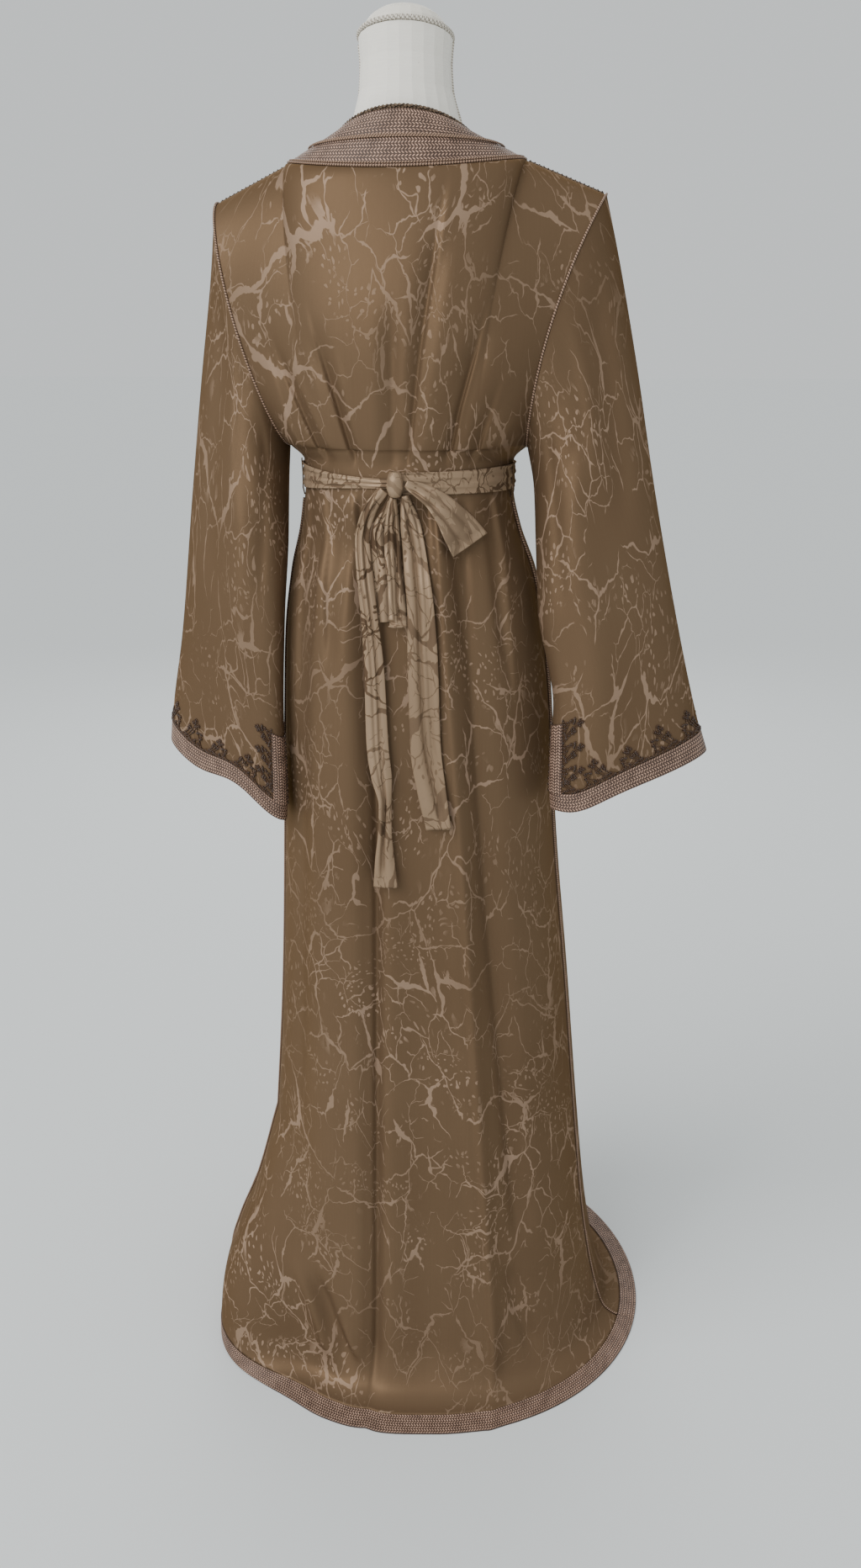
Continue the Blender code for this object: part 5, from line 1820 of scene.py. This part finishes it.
    def slit_closing(self, side: Side) -> None:
        """Braid strips up both edges of the cuff's slit, and the small knots that close it.

        Formula: rows are levels from the slit's top to the cuff band, columns the turns between
        the inner edge and the strip's far edge. Knots stand one above another on that edge.

        Args:
            side: the sleeve's side.
        """
        top = 1 - (self.slit + self.cuff_band) / self.length
        level = np.linspace(top, self.cuff, self.slit_rows)[:, None]
        part = np.linspace(0.0, 1.0, self.slit_columns)[None, :]
        for way, name in ((-1, "back"), (1, "front")):
            share = part[:, ::-way]
            turn = math.pi + way * (self.slit_open + share * (self.slit_turn - self.slit_open))
            self.braid(
                f"trim_slit_{name}_{side.value}", lambda out: self.surface(side, turn, level, out),
                ribbed(share, 6, self.slit_rib), None, ("cloth_sleeve_" + side.value,),
                swapped=True, lifts=self.slit_lifts,
            )
        level = np.linspace(top, self.cuff, self.knots)
        centres = self.surface(side, np.full(self.knots, math.pi), level, self.knot_lift)
        item = beads("slit_knots_" + side.value, centres, self.knot_radius)
        self.wardrobe.wear(item, BEAD, "dark_cord")

    def build(self) -> None:
        """Make both sleeves with their bands and vines."""
        for side, shift in ((Side.LEFT, self.cut_left), (Side.RIGHT, self.cut_right)):
            turns = np.linspace(0.0, 2 * math.pi, self.columns + 1)[:-1][None, :]
            rows = np.linspace(0.0, self.cuff - self.seam / self.length, self.rows)[:, None]
            outer = self.surface(side, turns, rows)
            inner = self.surface(side, turns, rows, -self.cloth)
            name = "sleeve_" + side.value
            place = cloth_map(outer, True, shift)
            item = Shell("cloth_" + name, outer, inner, place, closed=True).build()
            vine = self.vine(side)
            self.wardrobe.wear(item, TAUPE, "taupe_satin", name, Held.HUNG, ("dress_form",), vine)
            self.slit_closing(side)
            ends = np.linspace(self.cuff, 1.0, self.cuff_rows)[:, None]
            around = np.linspace(0.0, 2 * math.pi, self.cuff_columns + 1)[:-1][None, :]
            self.braid(
                "trim_cuff_" + side.value, lambda out: self.surface(side, around, ends, out),
                ribbed((ends - self.cuff) * self.length / SFIFA.row, 1, self.rib),
                "cuff_band_" + side.value, ("cloth_" + name,), closed=True,
            )


@dataclass
class NeckTrim(Tailor):
    """Two braid strips round the neck and down the front, and the cords between and beside them."""

    width: float = 0.06
    crown: float = 0.002
    rows: int = 81
    columns: int = 33
    ribs: int = 8
    rib: float = 0.0004
    # name, share across, lift, radius
    cords: tuple = (
        ("middle_a", 0.485, 0.0022, 0.0010),
        ("middle_b", 0.515, 0.0022, 0.0010),
        ("edge_a", 0.015, 0.0012, 0.0013),
        ("edge_b", 0.060, 0.0018, 0.0010),
    )
    cord_radius: float = 0.0024
    cord_clear: float = 0.0005
    cord_end: float = 1.300
    twist_step: float = 0.0009
    twist_pitch: float = 0.0085
    # a strand's distance from the cord's middle and its radius, as shares of the cord's radius
    strand_off: float = 0.48
    strand_radius: float = 0.56

    def surface(self, run: Array, share: Array, out: float | Array = 0.0) -> Array:
        """Neckband between its outer edge (share 0) and its neck edge (share 1).

        Formula: run goes 0 to 1 up the left front, to 2 round the back and to 3 down the right
        front; the point is a mix of both edges, crowned by a sine across and moved out.

        Args:
            run: place round the neck.
            share: place across the band.
            out: how far the points stand out.

        Returns:
            The points.
        """
        run, share = np.broadcast_arrays(np.asarray(run, float), np.asarray(share, float))
        neck = self.cut.neck
        mirror = np.array([-1.0, 1.0, 1.0])

        def edge(outer: bool) -> Array:
            """One edge of the band, all the way.

            Args:
                outer: whether it is the outer edge.

            Returns:
                The points.
            """
            left = neck.front_edge(rise_share(np.clip(run, 0, 1)), outer)
            right = neck.front_edge(rise_share(np.clip(3 - run, 0, 1)), outer) * mirror
            back = neck.back_edge(np.clip(run - 1, 0, 1) * math.pi, outer)
            return np.where(run[..., None] < 1, left, np.where(run[..., None] > 2, right, back))

        outer, inner = edge(True), edge(False)
        here = outer * (1 - share[..., None]) + inner * share[..., None]
        normal = unit(np.cross(np.gradient(here, axis=0), inner - outer))
        return here + normal * (self.crown * np.sin(math.pi * share) + out)[..., None]

    def build(self) -> None:
        """Make the strips and cords."""
        front = np.linspace(0.0, 1.0, self.rows)
        run = np.concatenate([front[:-1], 1 + front, 2 + front[1:]])[:, None]
        gap = self.seam / self.width
        for name, low, high in (("outer", 4 * gap, 0.5 - gap / 2), ("inner", 0.5 + gap / 2, 1.0)):
            share = np.linspace(low, high, self.columns)[None, :]
            self.braid(
                "trim_neck_" + name, lambda out: self.surface(run, share, out),
                ribbed((share - low) / (high - low), self.ribs, self.rib),
                "neckband_" + name, ("dress_form", "cloth_back"), swapped=True,
            )
        for name, place, lift, radius in self.cords:
            line = self.surface(run, np.array([[place]]), lift)[:, 0]
            cord = sweep("neck_cord_" + name, line[None], radius, 8)
            self.wardrobe.wear(cord, SEAM_CORD, "sfifa_braid")
        edge, below = (self.surface(run, np.array([[place]]))[:, 0] for place in (1.0, 0.9))
        path = edge + unit(edge - below) * (self.cord_radius + self.cord_clear)
        self.twisted("neck_edge_twist", path[path[:, 2] > self.cord_end])

    def twisted(self, name: str, path: Array) -> None:
        """Two strands twisted round each other.

        Formula: strand k lies at half a radius from the path, at the angle of the running length
        over the pitch plus k half turns.

        Args:
            name: object name.
            path: points along the cord's middle.
        """
        length = run_length(path, 0)
        steps = np.linspace(0.0, length[-1], int(length[-1] / self.twist_step))
        fine = np.stack([np.interp(steps, length, path[:, i]) for i in range(3)], axis=-1)
        one, two = frame_along(fine)
        angle = (steps / self.twist_pitch * 2 * math.pi + np.array([[0.0], [math.pi]]))[..., None]
        offset = one * np.cos(angle) + two * np.sin(angle)
        strands = fine + offset * self.cord_radius * self.strand_off
        item = sweep(name, strands, self.cord_radius * self.strand_radius, 6)
        self.wardrobe.wear(item, DARK_CORD, "dark_cord", "neck_edge_cord")


@dataclass
class SeamCords(Tailor):
    """Plaited cords on the side seams, armholes and shoulder seams."""

    radius: float = 0.0012
    side_lift: float = 0.0012
    hem_band: float = 0.0293
    top_height: float = 1.199
    top_clear: float = 0.004
    ring_lift: float = 0.0010
    ring_aside: float = 0.0004
    shoulder_beads: int = 17
    shoulder_bead: float = 0.0011

    def build(self) -> None:
        """Lay each cord on its seam, standing out by less than its radius."""
        body = self.cut.body
        top = float(body.along_of(np.array(self.top_height))) - self.top_clear
        along = np.linspace(self.hem_band, top, 400)
        turns = np.linspace(0.0, 2 * math.pi, 241)[:-1]
        for side in Side:
            path = body.surface(body.side_seam(side), along, self.side_lift)
            item = sweep("seam_cord_" + side.value, path[None], self.radius, 8)
            self.wardrobe.wear(item, SEAM_CORD, "sfifa_braid", "side_cord_" + side.value)
            ring = self.cut.arms.ring(body, side, turns)
            away = unit(ring - ring.mean(axis=0)) * self.ring_lift
            away = away + np.array([side.sign * self.ring_aside, 0.0, 0.0])
            path = (ring + away)[None]
            item = sweep("armhole_cord_" + side.value, path, self.radius, 8, loop=True)
            self.wardrobe.wear(item, SEAM_CORD, "sfifa_braid")
            self.shoulder(side)

    def shoulder(self, side: Side) -> None:
        """Dark cord and beads on the shoulder seam, a straight run from neckband to shoulder tip.

        Args:
            side: the shoulder's side.
        """
        start = self.cut.neck.back_edge(np.array(0.0), True) * np.array([side.sign, 1.0, 1.0])
        run = self.cut.arms.tip(side) - start

        def line(low: float, high: float, count: int, lift: float) -> Array:
            """Points between two shares of the seam, lifted."""
            part = np.linspace(low, high, count)[:, None]
            return start + run * part + np.array([0.0, 0.0, lift])

        cord = sweep(
            "shoulder_cord_" + side.value, line(0.03, 0.97, 60, 0.0002)[None], self.radius, 8
        )
        self.wardrobe.wear(cord, DARK_CORD, "dark_cord")
        centres = line(0.05, 0.95, self.shoulder_beads, 0.0013)
        dots = beads("shoulder_beads_" + side.value, centres, self.shoulder_bead)
        self.wardrobe.wear(dots, BEAD, "dark_cord")


@dataclass
class Belt(Tailor):
    """Self belt, reverse side out, its carriers and its bow."""

    lift: float = 0.0012
    ribbon: float = 0.0015
    low: float = 1.209
    high: float = 1.237
    knot: tuple = (-0.003, 0.1275, 1.223)
    knot_half: tuple = (0.0095, 0.0095, 0.0135)
    knot_end: float = 0.35
    knot_inner: float = 0.80
    crown: float = 0.0022
    trough: float = -0.004
    waist_radius: float = 0.12
    carrier_half: float = 0.0035
    carrier_wall: float = 0.0012
    carrier_heights: tuple = (1.199, 1.207, 1.238, 1.242)
    carrier_foot: float = 0.0008
    # name, angle where it ends in degrees, columns, narrowing
    back_stretches: tuple = (("left", 91.30, 90, 0.62), ("right", 91.46, 90, 0.15))
    front_columns: int = 160
    # start and end across, sway, depth and width of each crease
    creases: dict = field(default_factory=lambda: {
        "bow_tail_left": ((-0.45, 0.30, 0.15, 0.0036, 0.18), (0.60, 0.10, 0.10, 0.0020, 0.14)),
        "bow_loop_left_outer": ((0.20, -0.30, 0.10, 0.0022, 0.18),),
        "bow_loop_left_inner": (
            (-0.30, 0.10, 0.10, 0.0050, 0.14), (0.40, 0.35, 0.05, 0.0026, 0.14),
        ),
        "bow_tail_right": ((0.35, -0.05, 0.12, 0.0050, 0.13), (-0.55, -0.30, 0.10, 0.0022, 0.16)),
        "bow_loop_right": ((0.70, 0.35, 0.05, 0.0044, 0.16), (-0.50, -0.20, 0.10, 0.0026, 0.22)),
    })
    curls: dict = field(default_factory=lambda: {"bow_loop_left_inner": (0.0050, 150.0)})
    ribbons: dict = field(default_factory=lambda: {
        # height, middle x, lift, half width, edge lift
        "bow_tail_left": (
            (1.2170, 0.0100, 0.0110, 0.0060, 0.000), (1.1950, 0.0260, 0.0095, 0.0075, 0.001),
            (1.1627, 0.0350, 0.0110, 0.0080, 0.001), (1.1250, 0.0320, 0.0100, 0.0088, 0.001),
            (1.0875, 0.0277, 0.0090, 0.0095, 0.000), (1.0190, 0.0215, 0.0080, 0.0112, 0.001),
            (0.9257, 0.0177, 0.0075, 0.0127, -0.001), (0.8928, 0.0134, 0.0075, 0.0120, 0.001),
            (0.8580, 0.0089, 0.0085, 0.0070, 0.003), (0.8250, 0.0095, 0.0085, 0.0080, -0.002),
            (0.7885, 0.0100, 0.0075, 0.0113, 0.001), (0.7520, 0.0091, 0.0065, 0.0155, 0.001),
        ),
        "bow_loop_left_outer": (
            (1.2092, 0.0020, 0.0035, 0.0035, 0.000), (1.1630, 0.0184, 0.0040, 0.0078, -0.001),
            (1.1200, 0.0150, -0.0028, 0.0086, -0.001), (1.0875, 0.0125, -0.0051, 0.0078, 0.000),
            (1.0720, 0.0110, -0.0057, 0.0070, 0.000),
        ),
        "bow_loop_left_inner": (
            (1.2092, 0.0000, 0.0085, 0.0040, 0.000), (1.1630, 0.0005, 0.0100, 0.0085, 0.001),
            (1.1200, -0.0037, 0.0110, 0.0085, 0.002), (1.0900, -0.0060, 0.0110, 0.0092, 0.001),
            (1.0740, -0.0065, 0.0090, 0.0098, 0.000),
        ),
        "bow_tail_right": (
            (1.2110, -0.0130, 0.0090, 0.0045, 0.000), (1.1730, -0.0205, 0.0060, 0.0115, -0.001),
            (1.1300, -0.0265, 0.0060, 0.0135, 0.000), (1.0875, -0.0317, 0.0060, 0.0152, 0.001),
            (1.0190, -0.0350, 0.0055, 0.0172, 0.000), (0.9257, -0.0386, 0.0050, 0.0176, 0.001),
            (0.8810, -0.0449, 0.0050, 0.0168, -0.001), (0.8280, -0.0543, 0.0050, 0.0155, 0.000),
        ),
        "bow_loop_right": (
            (1.2240, -0.0150, 0.0120, 0.0050, 0.000), (1.2120, -0.0380, 0.0125, 0.0090, 0.002),
            (1.1980, -0.0548, 0.0135, 0.0125, 0.003), (1.1760, -0.0715, 0.0130, 0.0170, 0.003),
            (1.1560, -0.0840, 0.0110, 0.0205, 0.002),
        ),
    })

    def skirt_y(self, x: Array, z: Array) -> Array:
        """Y of the back's outer face: the oval plus the large folds, not below the trough.

        Args:
            x: places across.
            z: heights.

        Returns:
            The y of each.
        """
        body = self.cut.body
        _, left, right, deep, _ = read_table(body.sections, body.along_of(z))
        wide = np.where(x > 0, left, right)
        flat = deep * np.sqrt(np.clip(1 - (x / wide) ** 2, 0, 1))
        there = np.stack(np.broadcast_arrays(x, flat + 1.0, z), axis=-1)
        return flat + np.maximum(body.folds.depth(there, fine=False), self.trough)

    def stretches(self) -> None:
        """Belt round the waist in three stretches, with soft lengthwise creases.

        Formula: rows are the belt's height about its middle, narrowed towards the knot; creases
        are sines across whose phase drifts along.
        """
        body = self.cut.body
        high, low = body.along_of(np.array(self.high)), body.along_of(np.array(self.low))
        right = math.pi - body.seam_angle
        gap = self.seam / self.waist_radius
        starts = {"left": body.seam_angle + gap, "right": right - gap}
        spans = [
            ("belt_back_" + name, starts[name], math.radians(end), count, narrow, ("cloth_back",))
            for name, end, count, narrow in self.back_stretches
        ]
        spans.append((
            "belt_front", body.seam_angle - gap, right + gap - 2 * math.pi, self.front_columns, 0.0,
            ("cloth_front_left", "cloth_front_right"),
        ))
        part = np.linspace(-0.5, 0.5, 19)[:, None]
        for index, (name, start, end, count, narrow, rests) in enumerate(spans):
            across = np.linspace(0.0, 1.0, count + 1)[None, :]
            tall = (high - low) * (1 - narrow * smooth_step(across * 1.1))
            rows = (high + low) / 2 + part * tall
            angle = start + (end - start) * across
            crease = 0.0007 * np.sin(part * 15 + across * 6.0)
            crease = crease + 0.0004 * np.sin(part * 31 - across * 9.0)
            outer, inner = (
                body.surface(angle, rows, out, folded=False)
                for out in (self.lift + self.ribbon + crease, self.lift + 0 * crease)
            )
            place = cloth_map(outer, False, (0.3 * index, 2.0))
            item = Shell("silk_" + name, outer, inner, place).build()
            self.wardrobe.wear(item, CHAMPAGNE, "champagne_satin", name, Held.DRAPED, rests)

    def creased(self, name: str, index: int, across: Array, part: Array) -> Array:
        """Creases of a loop or tail.

        Formula: cusps (exponential of the distance) with a step (hyperbolic tangent) that wander
        along the ribbon, over two slow waves.

        Args:
            name: the ribbon's name.
            index: its number, which shifts its waves.
            across: from -1 to 1 across it.
            part: from 0 to 1 along it.

        Returns:
            How far the creases lift each point.
        """
        crease = 0.0005 * np.cos(across * 4.2 + part * 3 + index) * (1 - across ** 2)
        for start, end, sway, depth, width in self.creases.get(name, ()):
            line = start + (end - start) * part + sway * np.sin(part * 9 + index)
            grown = smooth_step(part * 8) * smooth_step((1 - part) * 12)
            cusp = np.exp(-np.abs(across - line) / width)
            step = np.tanh((across - line) / (0.4 * width))
            crease = crease - depth * (cusp - 0.55 * step) * grown
        wave = np.sin(part * 23 + index * 2 + across * 1.5)
        return crease + 0.0012 * wave * smooth_step(part * 5)

    @staticmethod
    def curled(grid: Array, radius: Array, degrees: float) -> Array:
        """A ribbon with its last row carried on round a small circle under it.

        Args:
            grid: points of the ribbon.
            radius: the circle's radius at each column.
            degrees: how far it turns.

        Returns:
            The longer grid.
        """
        turn = np.radians(np.linspace(0.0, degrees, 17))[1:, None, None]
        rise = radius[..., None] * np.array([0.0, -1.0, 0.0])
        drop = radius[..., None] * np.array([0.0, 0.0, -1.0])
        curl = grid[-1:] - rise + rise * np.cos(turn) + drop * np.sin(turn)
        return np.concatenate([grid, curl])

    def bow(self) -> None:
        """Loops and tails that hang over the skirt.

        Formula: rows follow the ribbon's middle line, columns lie square to it in the plane of the
        back, y is the skirt plus lift, tilt across, a crown and creases.
        """
        across = np.linspace(-1.0, 1.0, 29)[None, :]
        for index, (name, table) in enumerate(self.ribbons.items()):
            fine = np.linspace(0.0, 1.0, 18 * (len(table) - 1) + 1)
            steps = np.linspace(0.0, 1.0, len(table))
            height, middle, lift, half, tilt = (
                curve_through(steps, column(table, i), fine)[:, None] for i in range(5)
            )
            slant = np.gradient(height[:, 0])[:, None]
            sideways = np.gradient(middle[:, 0])[:, None]
            size = np.hypot(slant, sideways)
            x = middle + across * half * -slant / size
            z = height + across * half * sideways / size
            crease = self.creased(name, index, across, fine[:, None])
            y = self.skirt_y(x, z) + lift + tilt * across
            y = y + self.crown * (1 - across ** 2) + np.maximum(crease, -lift)
            thick = self.ribbon * np.sqrt(np.clip(1.02 - across ** 2, 0.02, 1)) ** 0.6
            outer, inner = np.stack([x, y + thick, z], axis=-1), np.stack([x, y, z], axis=-1)
            if name in self.curls:
                radius, degrees = self.curls[name]
                outer = self.curled(outer, radius - thick, degrees)
                inner = self.curled(inner, radius - thick * 0, degrees)
            place = cloth_map(outer, False, (0.4 * index, 3.0))
            item = Shell("silk_" + name, outer, inner, place).build()
            rests = ("silk_bow_knot", "cloth_back")
            self.wardrobe.wear(item, CHAMPAGNE, "champagne_satin", name, Held.HUNG, rests)

    def knot_piece(self) -> None:
        """Knot: a rounded wrap with slanting creases pressed into a ball.

        Formula: an oval ball cut off at both ends, its girth narrowed by sines of the height
        that sway round it.
        """
        end = math.pi / 2 - self.knot_end
        lat = np.linspace(-end, end, 40)[:, None]
        turn = np.linspace(0, 2 * math.pi, 65)[:-1][None, :]
        crease = 1 - 0.05 * np.abs(np.sin(3.0 * lat + 1.5 * np.sin(turn) + 0.6))
        crease = crease - 0.03 * np.abs(np.sin(5.0 * lat - 2.0 * np.cos(turn)))
        rise = np.sin(lat) / math.cos(self.knot_end) + turn * 0
        outer, inner = (
            np.array(self.knot) + np.array(self.knot_half) * np.stack(
                [np.cos(turn) * girth, np.sin(turn) * girth, rise], axis=-1
            )
            for girth in (np.cos(lat) ** 0.6 * crease * shrink for shrink in (1.0, self.knot_inner))
        )
        place = cloth_map(outer, True, (2.2, 3.6))
        item = Shell("silk_bow_knot", outer, inner, place, closed=True).build()
        rests = ("silk_belt_back_left",)
        self.wardrobe.wear(item, CHAMPAGNE, "champagne_satin", "bow_knot", Held.FOLDED, rests)

    def build(self) -> None:
        """Make the belt, knot, loops, tails and carriers."""
        self.stretches()
        self.knot_piece()
        self.bow()
        body = self.cut.body
        over = self.lift + self.ribbon + self.seam
        lifts = np.array([self.carrier_foot, over, over, over - self.seam])
        fine = np.linspace(0.0, 3.0, 31)
        along = body.along_of(np.array(self.carrier_heights))
        along = np.interp(fine, np.arange(4), along)[:, None]
        lift = np.interp(fine, np.arange(4), lifts)[:, None]
        across = np.linspace(-self.carrier_half, self.carrier_half, 9)[None, :]
        for side in Side:
            name = "belt_carrier_" + side.value
            seam = body.side_seam(side)
            angle = seam + body.seam_shift(seam, 1.0, along) * across
            outer, inner = (
                body.surface(angle, along, out + 0 * across, folded=False)
                for out in (lift + self.carrier_wall, lift)
            )
            item = Shell("cloth_" + name, outer, inner, cloth_map(outer, False, (7.7, 0.1))).build()
            self.wardrobe.wear(item, TAUPE, "taupe_satin", name)


@dataclass
class DressForm:
    """Linen torso with its neck, ring and cap, on a pole and round base."""

    wardrobe: Wardrobe
    tilt: float = math.radians(9.0)
    ring_radius: float = 0.0492
    ring_height: float = 1.6651
    strand_off: float = 0.0012
    strand_radius: float = 0.0015
    plaits: int = 26
    # height and half width of the neck
    neck: tuple = (
        (1.5630, 0.0700), (1.5760, 0.0620), (1.5900, 0.0575),
        (1.6150, 0.0500), (1.6400, 0.0482), (1.6620, 0.0500),
    )
    braid_span: tuple = (1.578, 1.660)
    braid_lift: float = 0.0006
    braid_radius: float = 0.0012

    def build(self) -> None:
        """Dress the form's solids, plait its neck ring and add the thin braids down its neck.

        Formula: three strands go round a tilted circle at a small offset, a third of a turn
        apart. The side braids follow the neck's half width.
        """
        for node, finish in (
            ("dress_form", LINEN), ("neck_cap", CAP), ("stand_pole", METAL), ("stand_base", METAL),
        ):
            self.wardrobe.redress(node, finish)
        turn = np.linspace(0, 2 * math.pi, 361)[:-1]
        radial = np.stack([np.cos(turn), np.sin(turn), 0 * turn], axis=-1)
        up = np.array([0.0, 0.0, 1.0])
        lean = np.sin(turn)[:, None] * math.tan(self.tilt)
        centre = (radial + up * lean) * self.ring_radius + up * self.ring_height
        angles = turn * self.plaits + np.arange(3)[:, None] * 2 * math.pi / 3
        offset = radial * np.cos(angles)[..., None] + up * np.sin(angles)[..., None]
        strands = centre + offset * self.strand_off
        ring = sweep("neck_ring_plait", strands, self.strand_radius, 6, loop=True)
        self.wardrobe.wear(ring, FORM_BRAID, "ivory_linen", "neck_ring")
        height = np.linspace(*self.braid_span, 80)
        wide = read_table(self.neck, height)[0] + self.braid_lift
        for side in Side:
            path = np.stack([side.sign * wide, 0 * height, height], axis=-1)
            braid = sweep("form_seam_" + side.value, path[None], self.braid_radius, 6)
            self.wardrobe.wear(braid, FORM_BRAID, "ivory_linen")


@dataclass(frozen=True)
class Studio:
    """Floor, light and camera."""

    focal_pixels: float = 1346.0
    frame_height: float = 1864.0
    sensor: float = 36.0
    distance: float = 1.39
    height: float = 1.36
    pitch: float = math.radians(21.0)
    azimuth: float = math.radians(187.0)
    aside: float = 0.026
    aim_height: float = 0.9
    # name, place, size, power of each lamp
    lamps: tuple = (
        ("key", (0.8, 2.1, 2.1), 1.4, 30.0),
        ("front", (0.4, -2.8, 2.4), 2.4, 34.0),
    )
    sun_from: tuple = (1.2, 0.8, 1.4)
    sun_angle: float = math.radians(30.0)
    sun_power: float = 1.45
    floor_half: float = 60.0
    floor_colour: tuple = colour(214, 217, 217)
    room_colour: tuple = colour(214, 218, 219)
    room_power: float = 1.12

    @staticmethod
    def linked(name: str, data: bpy.types.ID) -> bpy.types.Object:
        """A lamp's or camera's object in the scene.

        Args:
            name: object name.
            data: the lamp or camera.

        Returns:
            The object.
        """
        item = bpy.data.objects.new(name, data)
        bpy.context.scene.collection.objects.link(item)
        return item

    def camera(self) -> None:
        """Camera at the photograph's angle: behind the garment, above it and looking down."""
        data = bpy.data.cameras.new("camera")
        data.sensor_fit = "VERTICAL"
        data.sensor_height = self.sensor
        data.lens = self.focal_pixels / self.frame_height * self.sensor
        item = self.linked("camera", data)
        cosine, sine = math.cos(self.azimuth), math.sin(self.azimuth)
        item.location = (
            sine * self.distance + cosine * self.aside,
            -cosine * self.distance + sine * self.aside,
            self.height,
        )
        item.rotation_euler = (math.pi / 2 - self.pitch, 0.0, self.azimuth)
        bpy.context.scene.camera = item

    def lights(self) -> None:
        """Large square lamps that face the garment's middle, a wide soft sun and an even room."""
        for name, place, size, power in self.lamps:
            data = bpy.data.lights.new(name, "AREA")
            data.size = size
            data.energy = power
            item = self.linked(name, data)
            item.location = place
            aim = mathutils.Vector((0.0, 0.0, self.aim_height)) - mathutils.Vector(place)
            item.rotation_euler = aim.to_track_quat("-Z", "Y").to_euler()
        data = bpy.data.lights.new("window", "SUN")
        data.angle = self.sun_angle
        data.energy = self.sun_power
        item = self.linked("window", data)
        item.rotation_euler = mathutils.Vector(self.sun_from).to_track_quat("Z", "Y").to_euler()
        world = bpy.data.worlds.new("room")
        world.use_nodes = True
        back = world.node_tree.nodes["Background"]
        back.inputs["Color"].default_value = self.room_colour
        back.inputs["Strength"].default_value = self.room_power
        bpy.context.scene.world = world

    def build(self) -> None:
        """Set up the floor, the lights and the camera."""
        corners = np.array([(-1, -1, 0), (1, -1, 0), (1, 1, 0), (-1, 1, 0)], float)
        floor = make_object("floor", corners * self.floor_half, [[0, 1, 2, 3]], None)
        graph = Graph("pale_floor")
        graph.shade({"Base Color": self.floor_colour, "Roughness": 0.9})
        floor.data.materials.append(graph.material)
        self.lights()
        self.camera()


def main() -> None:
    """Build the garment, the form and the studio."""
    logging.basicConfig(level=logging.INFO, format="%(name)s %(message)s")
    wardrobe = Wardrobe()
    cut = Cut()
    for part in (
        Panels(cut, wardrobe),
        Sleeves(cut, wardrobe),
        NeckTrim(cut, wardrobe),
        SeamCords(cut, wardrobe),
        Belt(cut, wardrobe),
        DressForm(wardrobe),
        Studio(),
    ):
        part.build()
        LOG.info("%s done", type(part).__name__)


if __name__ == "__main__":
    main()
